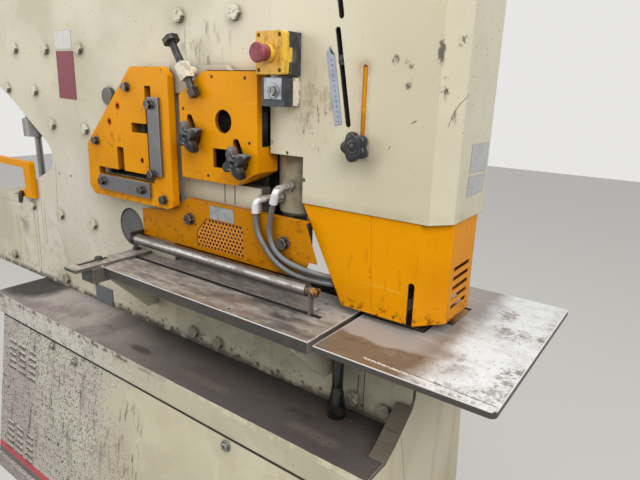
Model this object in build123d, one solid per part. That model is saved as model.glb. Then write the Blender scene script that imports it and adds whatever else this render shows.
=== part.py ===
from build123d import *
from math import cos, pi, radians, sin, tan
import os

# Punching and shearing machine, in millimetres.
# X runs along the machine towards the punching head, Y from the operator to the
# rear, Z up from the floor. Y = 0 is the middle plane between the side plates.

# Side plates
HALF_DEPTH = 121.0
PLATE_T = 35.0
LEFT_END = -1210.0
FRAME_TOP = 1720.0
PLATE_FOOT_X = -740.0
OVERHANG_BOTTOM = 640.0
LEFT_CHAMFER = 150.0
INNER = HALF_DEPTH - PLATE_T

# Tables
TABLE_TOP = 875.0
SHEAR_TABLE_T = 28.0
PUNCH_TABLE_T = 13.0
SHEAR_TABLE_X = (-160.0, 537.0)
SHEAR_TABLE_FRONT = -280.0
PUNCH_TABLE_X = (553.0, 913.0)
PUNCH_TABLE_Y = (-285.0, 235.0)
PUNCH_TABLE_CORNERS = (12.0, 4.0)
SHEAR_SEAT = TABLE_TOP - SHEAR_TABLE_T
PUNCH_SEAT = TABLE_TOP - PUNCH_TABLE_T

# Windows and throats of the side plates
THROAT_TOP = 1110.0
FLAT_WINDOW = (-60.0, 985.0)
FINGER_END = 400.0
FINGER_TOP = 1050.0
BAR_WINDOW = (28.0, 305.0, 1125.0, 1392.0)
BOSS_WINDOW = (270.0, 480.0, 1220.0)
REAR_THROAT_X = 272.0
REAR_MARGIN = 20.0
LEFT_THROAT = ((-983.0, 1330.0), (-930.0, 1307.0), (-691.0, 1155.0), (-672.0, 1126.0),
               (-681.0, 1071.0), (-806.0, 1015.0), (-900.0, 972.0), (-930.0, 910.0))
LEFT_JAW_Z = 910.0
LEFT_THROAT_TOP = 1330.0

# Head
HEAD_X = 301.0
HEAD_END = 735.0
HEAD_TOP = 1800.0
HEAD_PLATE_END = 670.0
COVER_T = 3.0
COVER_BEVEL = (35.0, 42.0)
COVER_STEP = (395.0, 1212.0)
HEAD_BOTTOM = 1110.0
SLIDE_GAP = 0.3
GUARD_T = 2.0
RECESS = COVER_T + GUARD_T + 2 * SLIDE_GAP

# Tie bolts that hold the plates together
TIE_BOLTS = ((9, 1517), (198, 1514), (-833, 1457), (-636, 1452), (-445, 1450), (-920, 1328),
             (-733, 1324), (-644, 1220), (-452, 1217), (-653, 915), (-455, 914), (-844, 918),
             (-481, 721), (-1039, 689), (-661, 678), (14, 678), (112, 675), (556, 678),
             (636, 678), (-870, 1640), (-540, 1640), (-120, 1640))
TIE_R = 10.0
TIE_HEAD_AF = 30.0
TIE_HEAD_H = 12.0
TIE_NUT_H = 18.0
SPACER_R = 22.0
HOLE_GAP = 0.3
PILOT_HOLES = ((-641, 1057), (-568, 1057))
PILOT_R = 4.0

# Rocking beam and its blades
PIVOT = (-307.0, 1319.0)
PIVOT_R = 24.0
PIN_PROUD = 15.0
FIT = 0.05
SHEAR_Y = -30.0
BLADE_GAP = 0.3
BEAM_HALF = 28.0
BEAM_BOTTOM = 925.0
BEAM_RIGHT = 262.0
ARM_UNDER = 1375.0
ARM_END = 360.0
BEAM_TOP = 1440.0
BLADE_DEPTH = 25.0
SECTION_WINDOW_TALL = (-165.0, -55.0, 1095.0, 1356.0)
SECTION_WINDOW_LOW = (-340.0, -165.0, 1095.0, 1192.0)
SLOT_A = ((-90.0, -65.0, 1110.0, 1351.0), (-155.0, -90.0, 1230.0, 1255.0))
SLOT_B = ((-326.0, -70.0, 1100.0, 1121.0), (-230.0, -200.0, 1121.0, 1185.0))
ROUND_HOLE = (185.0, 1277.0, 27.0)
SQUARE_HOLE = (148.0, 193.0, 1167.0, 1213.0)
BAR_EXIT = (125.0, 240.0, 1150.0, 1325.0)
FLAT_BLADE_X = (-55.0, 250.0)
FLAT_BLADE_H = 60.0
FLAT_EDGE_LEFT = 888.0
FLAT_EDGE_RIGHT = 915.0
FLAT_BLADE_T = 18.0
DIE_BAR_H = 40.0
SHEAR_ROD_X = 310.0
SHEAR_ROD_R = 30.0
ROD_TIP_R = 60.0
ROD_GAP = 0.3
SHEAR_ROD_LENGTH = 160.0
SHEAR_CYLINDER_R = 72.0

# Guards
SECTION_FRONT = -165.0
SECTION_T = 20.0
STRIP_T = 8.0
BAR_FRONT = -155.0
BAR_GUARD_T = 10.0
BAR_WALL = 8.0
FLAT_FRONT = -141.0
FLAT_T = 3.0
FLAT_BOTTOM = 938.0
SLOT_TILT = radians(24.5)
REST_SLOT_HALF = 10.5
REST_SLOTS = ((68.82, 1277.81, 46.0), (226.0, 1230.0, 45.5))
REST_DOWN = 10.0
REST_R = 17.0
STUD_R = 5.0

# Punching station
RAM_X = 620.0
RAM_R = 45.0
NUT_R = 56.0
NUT_Z = (1010.0, 1070.0)
PUNCH_R = 13.0
PUNCH_TIP = 905.0
DIE_R = 32.0
DIE_GAP = 0.5
BOLSTER_TOP = 878.0
BOLSTER_X = (RAM_X - 67.0, RAM_X + 75.0)
BOLSTER_Y = 90.0
BOLSTER_TONGUE = (730.0, -19.0, 89.0)
TABLE_GAP = 5.0
PUNCH_CYLINDER_R = 80.0
PUNCH_NECK_R = 62.0
GUIDE_BLOCK_X = (500.0, HEAD_PLATE_END - 2.0)
GUIDE_BLOCK_Z = (THROAT_TOP + 20.0, THROAT_TOP + 130.0)
FLANGE_T = 40.0
STRIPPER_Z = (915.0, 940.0)

# Left station
LEFT_RAM_X = -1000.0
LEFT_RAM_R = 35.0
LEFT_TIP = 965.0
LEFT_CYLINDER_R = 72.0
LEFT_DIE_X = (-1110.0, -965.0)
LEFT_DIE_H = 30.0
LEFT_PUNCH_R = 12.0
FORK_HALF = 197.0
FORK_T = 20.0
FORK_LEG = 44.0
FORK_Z = (950.0, 1080.0)

# Base
LEDGE_TOP = 643.0
LEDGE_X = (-819.0, 699.0)
LEDGE_FRONT = -300.0
LEDGE_LIP = 72.0
TRAY_T = 4.0
PANEL_T = 3.0
PANEL_SLOPE = 0.157
PANEL_LEFT = -777.0
RAIL_H = 56.0
RAIL_W = 60.0
RAIL_WALL = 6.0
RAIL_FRONT = -392.0
REAR_LEDGE_Y = 172.0
REAR_SLOPE = 0.11
CHEEK_X = 705.0
CHEEK_T = 6.0
CHEEK_FLANGE = 35.0
CROSS_MEMBERS = ((-740.0, -660.0), (-40.0, 40.0), (600.0, 680.0))
ANCHOR_HOLE_R = 9.0
ANCHOR_X = 640.0

# Hoses from the hold-down cylinder, each a route of chosen points
HOSE_R = 6.5
ELBOW_R = 8.5
HOSE_1 = ((280, -150, 1073), (281, -151, 1035), (307, -152, 1000), (340, -152, 969),
          (386, -152, 949), (432, -138, 940), (474, -103, 928), (512, -74, 929),
          (544, -62, 962), (553, -60, 1012), (553, -60, 1105))
HOSE_2 = ((334, -150, 1103), (326, -151, 1068), (323, -152, 1034), (334, -152.5, 1001),
          (364, -152, 978), (410, -151, 967), (457, -141, 960), (474, -105, 945),
          (500, -76, 954), (519, -63, 988), (525, -60, 1030), (525, -60, 1105))

# Hold-down cylinder
HOLD_X = 323.0
HOLD_Y = -30.0
HOLD_R = 55.0
HOLD_BOTTOM = 1062.0
HOLD_TOP = 1300.0
HOLD_ROD_R = 18.0

# Clamp screw, tilted in the XZ plane
SCREW_Y = -172.0
SCREW_HEAD = (33.0, 1460.0)
SCREW_DIR = Vector(0.5233, 0, -0.8521)
SCREW_R = 9.0
SCREW_LENGTH = 144.0
SCREW_HEAD_R = 20.0
SCREW_BLOCK = (65.0, 105.0, 25.0)
FOOT_SIDE = 20.0
FOOT_LENGTH = 20.0

# Guard tube and its rod
TUBE_Y = -172.0
TUBE_Z = 932.0
TUBE_R = 15.0
TUBE_ROD_R = 8.0
TUBE_X = (-150.0, 454.0)

# Side stop
STOP_X = (-215.0, -163.0)
STOP_Y = (-359.0, -121.5)
STOP_T = 9.0
STOP_BOLTS = ((-200.0, -269.0), (-205.0, -143.0))
STOP_BOLT_R = 6.0
STOP_TRAVEL = 20.0

# Details of the front plate
DISC = (-252.0, 940.0)
DISC_R = 54.0
DISC_DEPTH = 8.0
DISC_T = 6.0
GROOVE_X = 580.0
GUSSETS = (-160.0, 482.0)
GUSSET_T = 12.0
GUSSET_FOOT = 722.0

# Front panel
LOUVRE_X = (-723.0, -660.0, -592.0)
LOUVRE_TOPS = (488.0, 192.0)
LOUVRE_ROWS = 5
LOUVRE_PITCH = 22.5
LOUVRE_W = 40.0
LOUVRE_H = 6.0
LOUVRE_PROUD = 5.0
PANEL_GAP = 3.0

# Tables and die
DIE_BAR_T = 15.0
GROOVE_END = 490.0
GROOVE_YS = (-177.0, -168.5)
GROOVE_W = 5.0
GROOVE_DEPTH = 6.0
TABLE_HOLES = ((455.0, -139.0, 6.0), (454.0, -100.0, 4.0), (300.0, -262.0, 4.0))
STOP_LUGS = ((-312.0, -250.0), (-163.0, -121.0))

# Slots of the head cover
POINTER_SLOT = ((476.0, 1468.0), (508.0, 1289.0))
POINTER_SLOT_2 = ((483.0, 1495.0), (455.0, 1652.0))
POINTER_HALF = 6.5
POINTER = (485.8, 1413.0)
KNOB_SLOT = ((543.0, 1230.0), (543.0, 1398.0))
KNOB_SLOT_HALF = 6.0
GUARD_KNOB = (543.0, 1248.0)
COVER_HOLES = ((349.6, 1216.9, 4.0),)

# Switch boxes on the head
ESTOP_X = (315.0, 385.0)
ESTOP_Z = (1382.0, 1466.0)
ESTOP_FRONT = -183.0
ESTOP_SPLIT = -160.0
ESTOP_NOTCH = (-150.0, 1407.0, 1435.0)
ESTOP_SCREWS = ((322.5, 1458.0), (378.0, 1458.0), (322.5, 1390.0), (378.0, 1390.0))
ESTOP_CENTRE = (351.0, 1423.0)
MUSHROOM_R = 20.0
MUSHROOM_BACK = -214.0
BUTTON_BODY_R = 15.0
BUTTON_STEM_R = 9.0
COLLAR_FRONT = -196.0
COLLAR_R = 17.5
BOX_WALL = 3.0
KEY_X = (322.5, 384.0)
KEY_Z = (1318.0, 1377.0)
KEY_FRONT = -174.0
KEY_SPLIT = -145.0
KEY_CENTRE = (359.0, 1350.0)
BEZEL = (332.0, 379.5, 1333.0, 1376.0)
BARREL_R = 10.0
BARREL_FRONT = -188.0

# Outlines and bolts of the guards
SECTION_OUTLINE = ((-145, 1398, 6), (-19, 1398, 6), (4, 1377, 6), (4, 1048, 6), (-20, 1038, 6),
                   (-357, 1036, 8), (-381, 1058, 6), (-375, 1184, 10))
SECTION_BOLTS = ((-163.0, 1347.0), (-325.0, 1195.0), (-32.0, 1062.0))
SECTION_HOLES = ((-212.0, 1296.0), (-256.0, 1252.0), (-118.0, 1157.0))
STRIP_BOLTS = ((-60.0, 1306.0), (-64.0, 1128.0), (-296.0, 1082.0), (-115.0, 1079.0))
FLAT_BOLTS = ((40.0, 1018.0), (360.0, 1014.0))
GUARD_BOLT_R = 6.0
SECTION_BOLT_AF = 20.0
FLAT_BOLT_AF = 25.0
GUARD_HOLE_R = 7.0
BAR_OUTLINE = ((33, 1131), (222, 1131), (293, 1168), (292, 1389), (123, 1389), (32, 1332))
FLAT_OUTLINE = ((-165, FLAT_BOTTOM), (378, FLAT_BOTTOM), (405, 953), (420, 953), (430, 982),
                (454.5, 982), (419, 1071), (33, 1071), (-49, 1028), (-165, 1015))
SCREEN_WINDOW = ((62, 948), (62, 990), (100, 1028), (230, 1028), (230, 948))
SCREEN_T = 2.0
SCREEN_MARGIN = 8.0
SCREEN_PITCH_X = 12.0
SCREEN_PITCH_Z = 10.0
SCREEN_HOLE_R = 4.0
BRACKET_FRONT = -141.0

# Tool guard
GUARD_BOTTOM = 893.0
GUARD_TOP = 1140.0
GUARD_EDGE = ((397.0, 1106.0), (508.0, 893.0))
GUARD_LOUVRES = 5
GUARD_LOUVRE_Z = 918.0
GUARD_LOUVRE_PITCH = 21.0
TONGUE_HALF = 17.0
TONGUE_TOP = 1412.0
STUD_FRONT = -151.0

# Knobs: lobes, circle of the lobes, lobe, hub, and the angle of the first lobe
BAR_KNOB = (5, 33.0, 8.0, 19.0, 90.0)
GUARD_KNOB_FORM = (5, 20.0, 11.0, 24.0, 40.0)
KNOB_T = 22.0
KNOB_HUB_T = 36.0

# Hydraulic unit in the base
TANK_X = (-350.0, 280.0)
TANK_Y = (-290.0, -135.0)
TANK_TOP = 470.0
TANK_WALL = 4.0
MOTOR_X = (-760.0, -560.0)
PUMP_END = -470.0
MOTOR_Y = -215.0
SHAFT_Z = RAIL_H + 179.0
MOTOR_R = 85.0
PUMP_R = 48.0
SHAFT_R = 15.0


def box(x0, x1, y0, y1, z0, z1):
    """Block between two corners."""
    centre = Pos((x0 + x1) / 2, (y0 + y1) / 2, (z0 + z1) / 2)
    return centre * Box(x1 - x0, y1 - y0, z1 - z0)


def rod_x(y, z, x0, x1, r):
    return Pos((x0 + x1) / 2, y, z) * Rot(0, 90, 0) * Cylinder(r, x1 - x0)


def rod_y(x, z, y0, y1, r):
    return Pos(x, (y0 + y1) / 2, z) * Rot(90, 0, 0) * Cylinder(r, y1 - y0)


def rod_z(x, y, z0, z1, r):
    return Pos(x, y, (z0 + z1) / 2) * Cylinder(r, z1 - z0)


def profile(points):
    """Closed outline. A point with a third value has a corner of that radius."""
    face = make_face(Polyline([p[:2] for p in points], close=True))
    for point in points:
        if len(point) == 3:
            corner = face.vertices().sort_by_distance((point[0], point[1], 0))[0]
            face = fillet(corner, point[2])
    return face


def plate_xz(points, y0, y1):
    """Plate with its outline in X and Z, from y0 to y1."""
    return extrude(Plane.XZ.offset(-y1) * profile(points), amount=y1 - y0, dir=(0, -1, 0))


def plate_yz(points, x0, x1):
    """Plate with its outline in Y and Z, from x0 to x1."""
    return extrude(Plane.YZ.offset(x0) * profile(points), amount=x1 - x0, dir=(1, 0, 0))


def plate_xy(points, z0, z1):
    """Plate with its outline in X and Y, from z0 to z1."""
    return extrude(Plane.XY.offset(z0) * profile(points), amount=z1 - z0, dir=(0, 0, 1))


def rect(x0, x1, z0, z1):
    return ((x0, z0), (x1, z0), (x1, z1), (x0, z1))


def hex_y(x, z, y0, y1, across_flats):
    """Hexagonal prism along Y."""
    outline = RegularPolygon(across_flats / 2, 6, major_radius=False)
    return Pos(x, y1, z) * Rot(90, 0, 0) * extrude(outline, amount=y1 - y0)


def hex_z(x, y, z0, z1, across_flats):
    """Hexagonal prism along Z."""
    outline = RegularPolygon(across_flats / 2, 6, major_radius=False)
    return Pos(x, y, z0) * extrude(outline, amount=z1 - z0)


def lobed_knob(x, z, y_rear, form):
    """Lobed clamping knob on an axis along Y, its rear face at y_rear."""
    lobes, circle, lobe_r, hub_r, first = form
    outline = Circle(hub_r)
    for i in range(lobes):
        arm = Pos(circle / 2, 0) * Rectangle(circle, 2 * lobe_r) + Pos(circle, 0) * Circle(lobe_r)
        outline += Rot(0, 0, first + 360 / lobes * i) * arm
    grip = Pos(0, 0, KNOB_HUB_T - KNOB_T) * extrude(outline, amount=KNOB_T)
    knob = grip + extrude(Circle(hub_r - 4), amount=KNOB_HUB_T)
    knob -= extrude(Circle(STUD_R + FIT), amount=KNOB_HUB_T - 6)
    return Pos(x, y_rear, z) * Rot(90, 0, 0) * knob


def panel_y(z):
    """Outer face of the sloping front panel at a height."""
    bend = LEDGE_TOP - LEDGE_LIP
    return LEDGE_FRONT - PANEL_SLOPE * max(0.0, bend - z)


def rear_y(z):
    """Outer face of the sloping rear panel at a height."""
    return REAR_LEDGE_Y + REAR_SLOPE * (LEDGE_TOP - z)


def plate_outline(seat, jaw_edge):
    """Outline of a side plate: left throat, foot, right jaw with its seat, right edge, top."""
    left_throat = [(x, z) for x, z in LEFT_THROAT]
    foot_right = LEDGE_X[1]
    return ([(LEFT_END, LEFT_THROAT_TOP)] + left_throat + [(LEFT_END, LEFT_JAW_Z)]
            + [(LEFT_END, OVERHANG_BOTTOM), (PLATE_FOOT_X - 40, OVERHANG_BOTTOM),
               (PLATE_FOOT_X, OVERHANG_BOTTOM - 60), (PLATE_FOOT_X, RAIL_H),
               (foot_right, RAIL_H), (foot_right, seat)]
            + jaw_edge
            + [(HEAD_PLATE_END, THROAT_TOP), (HEAD_PLATE_END, HEAD_TOP - 10),
               (HEAD_X, HEAD_TOP - 10), (HEAD_X, FRAME_TOP),
               (LEFT_END + LEFT_CHAMFER, FRAME_TOP), (LEFT_END, FRAME_TOP - LEFT_CHAMFER)])


def grown(window, margin):
    x0, x1, z0, z1 = window
    return x0 - margin, x1 + margin, z0 - margin, z1 + margin


def plate_holes(y0, y1, margin):
    """Holes that both side plates share, the windows of the section station by a margin."""
    holes = [rod_y(x, z, y0, y1, TIE_R + HOLE_GAP) for x, z in TIE_BOLTS]
    holes.append(rod_y(PIVOT[0], PIVOT[1], y0, y1, PIVOT_R + 0.02))
    for window in (SECTION_WINDOW_TALL, SECTION_WINDOW_LOW):
        holes.append(plate_xz(rect(*grown(window, margin)), y0, y1))
    return holes


def head_recess(sign):
    """Shallow step that lets the cover and the tool guard lie flush."""
    deep = sorted((sign * HALF_DEPTH, sign * (HALF_DEPTH - RECESS)))
    return box(HEAD_X, HEAD_PLATE_END + 1, deep[0], deep[1], HEAD_BOTTOM - 1, HEAD_TOP)


def front_plate():
    jaw = [(SHEAR_TABLE_X[1] + 1, PUNCH_SEAT), (SHEAR_TABLE_X[1] + 1, SHEAR_SEAT),
           (FLAT_WINDOW[0], SHEAR_SEAT), (FLAT_WINDOW[0], FLAT_WINDOW[1], 15),
           (FINGER_END, FLAT_WINDOW[1]), (FINGER_END, FINGER_TOP),
           (BOSS_WINDOW[0], FINGER_TOP), (BOSS_WINDOW[0], BAR_WINDOW[2]),
           (BAR_WINDOW[0], BAR_WINDOW[2], 15), (BAR_WINDOW[0], BAR_WINDOW[3], 15),
           (BAR_WINDOW[1], BAR_WINDOW[3], 15), (BAR_WINDOW[1], BOSS_WINDOW[2]),
           (BOSS_WINDOW[1], BOSS_WINDOW[2], 15), (BOSS_WINDOW[1], THROAT_TOP)]
    y0, y1 = -HALF_DEPTH, -INNER
    plate = plate_xz(plate_outline(PUNCH_SEAT, jaw), y0, y1)
    cuts = plate_holes(y0 - 1, y1 + 1, 0)
    cuts.append(head_recess(-1))
    cuts.append(rod_y(DISC[0], DISC[1], y0 - 1, y0 + DISC_DEPTH, DISC_R + 4))
    cuts += [rod_y(x, z, y0 - 1, y0 + 20, PILOT_R) for x, z in PILOT_HOLES]
    cuts.append(box(GROOVE_X - 1, GROOVE_X + 1, y0 - 1, y0 + 3, LEDGE_TOP, PUNCH_SEAT + 1))
    cuts.append(tilted_slot(*POINTER_SLOT, POINTER_HALF + 2, y0, y1 + 1))
    cuts.append(tilted_slot(*POINTER_SLOT_2, POINTER_HALF + 2, y0, y1 + 1))
    plate -= cuts
    for x0 in GUSSETS:
        plate += plate_yz(((-HALF_DEPTH, SHEAR_SEAT), (SHEAR_TABLE_FRONT + 14, SHEAR_SEAT),
                           (SHEAR_TABLE_FRONT + 14, SHEAR_SEAT - 12), (-155, GUSSET_FOOT),
                           (-HALF_DEPTH, GUSSET_FOOT)), x0, x0 + GUSSET_T)
    return plate


def rear_plate():
    """Side plate with one level seat and with exits wider than the blades' openings."""
    jaw = [(FLAT_WINDOW[0], SHEAR_SEAT), (FLAT_WINDOW[0], FLAT_WINDOW[1], 15),
           (REAR_THROAT_X, FLAT_WINDOW[1]), (REAR_THROAT_X, THROAT_TOP, 15)]
    y0, y1 = INNER, HALF_DEPTH
    cuts = plate_holes(y0 - 1, y1 + 1, REAR_MARGIN)
    cuts.append(head_recess(1))
    cuts.append(plate_xz(rect(*grown(BAR_EXIT, REAR_MARGIN)), y0 - 1, y1 + 1))
    return plate_xz(plate_outline(SHEAR_SEAT, jaw), y0, y1) - cuts


def tie_bolts():
    """Tie bolts with their nuts and the tubes that hold the plates apart."""
    pieces = []
    for x, z in TIE_BOLTS:
        shank_end = HALF_DEPTH + TIE_NUT_H + 4
        bolt = rod_y(x, z, -HALF_DEPTH, shank_end, TIE_R)
        bolt += hex_y(x, z, -HALF_DEPTH - TIE_HEAD_H, -HALF_DEPTH, TIE_HEAD_AF)
        nut = hex_y(x, z, HALF_DEPTH, HALF_DEPTH + TIE_NUT_H, TIE_HEAD_AF)
        nut -= rod_y(x, z, HALF_DEPTH, HALF_DEPTH + TIE_NUT_H, TIE_R + FIT)
        tube = rod_y(x, z, -INNER, INNER, SPACER_R) - rod_y(x, z, -INNER, INNER, TIE_R + HOLE_GAP)
        pieces += [bolt, nut, tube]
    return pieces


def pivot_pin():
    length = HALF_DEPTH + PIN_PROUD
    return chamfer(rod_y(PIVOT[0], PIVOT[1], -length, length, PIVOT_R).edges(), 2)


def hollow_rail(y):
    """Closed rectangular tube along the base, its front face at y."""
    x0, x1 = PANEL_LEFT - CHEEK_T, CHEEK_X
    w = RAIL_WALL
    tube = box(x0, x1, y, y + RAIL_W, 0, RAIL_H)
    return tube - box(x0 + w, x1 - w, y + w, y + RAIL_W - w, w, RAIL_H - w)


def base_frame():
    """Welded base: two rails, three cross members and the left end plate."""
    rear_rail = rear_y(0) - 50
    frame = hollow_rail(RAIL_FRONT)
    frame += hollow_rail(rear_rail)
    for x0, x1 in CROSS_MEMBERS:
        frame += box(x0, x1, RAIL_FRONT + RAIL_W, rear_rail, 0, RAIL_H)
    tray = LEDGE_TOP - TRAY_T
    end = plate_yz(((LEDGE_FRONT + TRAY_T, tray), (LEDGE_FRONT + TRAY_T, tray - LEDGE_LIP),
                    (panel_y(RAIL_H), RAIL_H), (rear_y(RAIL_H), RAIL_H),
                    (REAR_LEDGE_Y - 1, tray)), PANEL_LEFT - CHEEK_T, PANEL_LEFT)
    side_slot = [box(PANEL_LEFT - CHEEK_T, PANEL_LEFT, s - 18, s + 18, tray - 65, tray)
                 for s in (-HALF_DEPTH + PLATE_T / 2, HALF_DEPTH - PLATE_T / 2)]
    frame += end - side_slot
    rail_mid = (RAIL_FRONT + RAIL_W / 2, rear_rail + RAIL_W / 2)
    frame -= [rod_z(x, y, 0, RAIL_H, ANCHOR_HOLE_R)
              for x in (-ANCHOR_X, ANCHOR_X) for y in rail_mid]
    return frame


def ledge_trays():
    """Folded trays in front of and behind the side plates."""
    x0, x1 = LEDGE_X
    front = box(x0, x1, LEDGE_FRONT, -HALF_DEPTH, LEDGE_TOP - TRAY_T, LEDGE_TOP)
    front += box(x0, x1, LEDGE_FRONT, LEDGE_FRONT + TRAY_T, LEDGE_TOP - LEDGE_LIP, LEDGE_TOP)
    rear = box(x0, x1, HALF_DEPTH, REAR_LEDGE_Y, LEDGE_TOP - TRAY_T, LEDGE_TOP)
    return [front, rear]


def louvre_columns():
    """Left and lower corner of every louvre slit in the front panel."""
    slits = []
    for x in LOUVRE_X:
        for top in LOUVRE_TOPS:
            slits += [(x, top - LOUVRE_PITCH * i) for i in range(LOUVRE_ROWS)]
    return slits


def front_panel():
    """Sloping panel with raised louvres, each with a slit under its hood."""
    top = LEDGE_TOP - LEDGE_LIP - PANEL_GAP
    outline = ((panel_y(top), top), (panel_y(RAIL_H), RAIL_H),
               (panel_y(RAIL_H) + PANEL_T, RAIL_H), (panel_y(top) + PANEL_T, top))
    panel = plate_yz(outline, PANEL_LEFT, LEDGE_X[1])
    for x, z in louvre_columns():
        hood_top = z + LOUVRE_H + 2
        panel += plate_yz(((panel_y(hood_top) + 1, hood_top), (panel_y(z) - LOUVRE_PROUD, z),
                           (panel_y(z) + 1, z)), x, x + LOUVRE_W)
    slits = [box(x + 1, x + LOUVRE_W - 1, panel_y(z) - LOUVRE_PROUD + 1.5, panel_y(z) + 8,
                 z - 1, z + LOUVRE_H - 3) for x, z in louvre_columns()]
    return panel - slits


def rear_panel():
    top = LEDGE_TOP - TRAY_T
    outline = ((rear_y(top), top), (rear_y(RAIL_H), RAIL_H),
               (rear_y(RAIL_H) - PANEL_T, RAIL_H), (rear_y(top) - PANEL_T, top))
    return plate_yz(outline, PANEL_LEFT, LEDGE_X[1])


def right_cheek():
    """End plate with a flange folded inwards along its sloping front edge."""
    edge = ((-115, PUNCH_SEAT), (-118, 735), (-128, 714), (-197, 663), (-235, LEDGE_TOP))
    front = ((LEDGE_FRONT, LEDGE_TOP), (panel_y(571), 571), (panel_y(RAIL_H), RAIL_H))
    rear = ((rear_y(RAIL_H), RAIL_H), (REAR_LEDGE_Y, LEDGE_TOP), (HALF_DEPTH, LEDGE_TOP),
            (115, PUNCH_SEAT))
    cheek = plate_yz(edge + front + rear, CHEEK_X - CHEEK_T, CHEEK_X)
    flange = plate_yz(((-128, 714), (-197, 663), (-235, LEDGE_TOP), (-227, LEDGE_TOP),
                       (-192, 668 - 8), (-124, 706)), CHEEK_X - CHEEK_T - CHEEK_FLANGE,
                      CHEEK_X - CHEEK_T)
    return cheek + flange


def shear_table():
    """Thick table on the front plate with two narrow grooves and the stop's lugs."""
    x0, x1 = SHEAR_TABLE_X
    z0, z1 = SHEAR_SEAT, TABLE_TOP
    table = box(x0, x1, SHEAR_TABLE_FRONT, -HALF_DEPTH, z0, z1)
    table += box(FLAT_WINDOW[0], x1, -HALF_DEPTH, SHEAR_Y - BLADE_GAP - DIE_BAR_T, z0, z1)
    grooves = [box(x0, GROOVE_END, y, y + GROOVE_W, z1 - GROOVE_DEPTH, z1) for y in GROOVE_YS]
    holes = [rod_z(x, y, z0, z1, r) for x, y, r in TABLE_HOLES]
    holes += [Pos(x, y, z1 - 3) * Cone(r, r + 6, 6) for x, y, r in TABLE_HOLES[:1]]
    table -= grooves + holes
    for y0, y1 in STOP_LUGS:
        table += box(STOP_X[0] - 3, x0, y0, y1, z0 - 13, z1)
    return table - [rod_z(x, y, z0 - 13, z1, STOP_BOLT_R + HOLE_GAP) for x, y in STOP_BOLTS]


def punch_table():
    """Thin table cut out round the bolster, with a pad on the rear plate's lower seat."""
    x0, x1 = PUNCH_TABLE_X
    y0, y1 = PUNCH_TABLE_Y
    near, far = PUNCH_TABLE_CORNERS
    table = plate_xy(((x0, y0), (x1, y0, near), (x1, y1, far), (x0, y1)), PUNCH_SEAT, TABLE_TOP)
    gap = TABLE_GAP
    table -= box(x0 - 1, BOLSTER_X[1] + gap, -BOLSTER_Y - gap, BOLSTER_Y + gap, PUNCH_SEAT, TABLE_TOP)
    table += box(x0 + gap, CHEEK_X - CHEEK_T - gap, INNER + gap, HALF_DEPTH - gap, SHEAR_SEAT, PUNCH_SEAT)
    end, ty0, ty1 = BOLSTER_TONGUE
    return table - box(BOLSTER_X[1], end + 3, ty0 - 3, ty1 + 3, PUNCH_SEAT, TABLE_TOP)


def head_section(inset):
    """Plan outline of the head's covers, a distance inside the outer face."""
    bx, by = COVER_BEVEL
    half = HALF_DEPTH - inset
    end = HEAD_END - inset
    lean = inset * 0.55
    return ((HEAD_X - 50, -half), (HEAD_END - bx - lean, -half), (end, -HALF_DEPTH + by + lean),
            (end, HALF_DEPTH - by - lean), (HEAD_END - bx - lean, half), (HEAD_X - 50, half))


def tilted_slot(start, end, half_width, y0, y1):
    """Round-ended slot between two points of the XZ plane."""
    run = Vector(end[0] - start[0], 0, end[1] - start[1])
    turn = -run.get_signed_angle(Vector(1, 0, 0), Vector(0, 1, 0))
    body = Rot(90, 0, 0) * extrude(SlotCenterToCenter(run.length, 2 * half_width), amount=y1 - y0)
    middle = Pos((start[0] + end[0]) / 2, y1, (start[1] + end[1]) / 2)
    return middle * Rot(0, turn, 0) * body


def head_cover():
    """Folded sheet round the punching head, with its slots."""
    outer = plate_xy(head_section(0), HEAD_BOTTOM, HEAD_TOP - COVER_T)
    inner = plate_xy(head_section(COVER_T), HEAD_BOTTOM - 1, HEAD_TOP)
    cover = outer - inner
    depth = HALF_DEPTH + 1
    cover -= box(HEAD_X - 60, HEAD_X, -depth, depth, HEAD_BOTTOM - 1, HEAD_TOP)
    cover -= box(HEAD_X - 1, COVER_STEP[0], -depth, depth, HEAD_BOTTOM - 1, COVER_STEP[1])
    front = -HALF_DEPTH - 1
    back = -HALF_DEPTH + COVER_T + 1
    cover -= tilted_slot(*KNOB_SLOT, KNOB_SLOT_HALF, front, back)
    cover -= tilted_slot(*POINTER_SLOT, POINTER_HALF, front, back)
    cover -= tilted_slot(*POINTER_SLOT_2, POINTER_HALF, front, back)
    cover -= [rod_y(x, z, front, back, r) for x, z, r in COVER_HOLES]
    return cover


def top_cover():
    """Sheets that close the top of the head and of the frame down to the left throat."""
    head = plate_xy(head_section(0), HEAD_TOP - COVER_T, HEAD_TOP)
    head -= box(HEAD_X - 60, HEAD_X, -200, 200, HEAD_TOP - COVER_T, HEAD_TOP)
    chamfer_x = LEFT_END + LEFT_CHAMFER
    t = COVER_T
    strip = plate_xz(((HEAD_X, FRAME_TOP), (HEAD_X, FRAME_TOP + t), (chamfer_x - 1.2, FRAME_TOP + t),
                      (LEFT_END - t, FRAME_TOP - LEFT_CHAMFER + 1.2), (LEFT_END - t, LEFT_THROAT_TOP),
                      (LEFT_END, LEFT_THROAT_TOP), (LEFT_END, FRAME_TOP - LEFT_CHAMFER),
                      (chamfer_x, FRAME_TOP)), -HALF_DEPTH, HALF_DEPTH)
    return [head, strip]


def estop_base():
    x0, x1 = ESTOP_X
    z0, z1 = ESTOP_Z
    shell = box(x0, x1, ESTOP_SPLIT, -HALF_DEPTH, z0, z1)
    w = BOX_WALL
    shell -= box(x0 + w, x1 - w, ESTOP_SPLIT, -HALF_DEPTH - w, z0 + w, z1 - w)
    notch, low, high = ESTOP_NOTCH
    return shell - box(x0, x1, ESTOP_SPLIT, notch, low, high)


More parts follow.
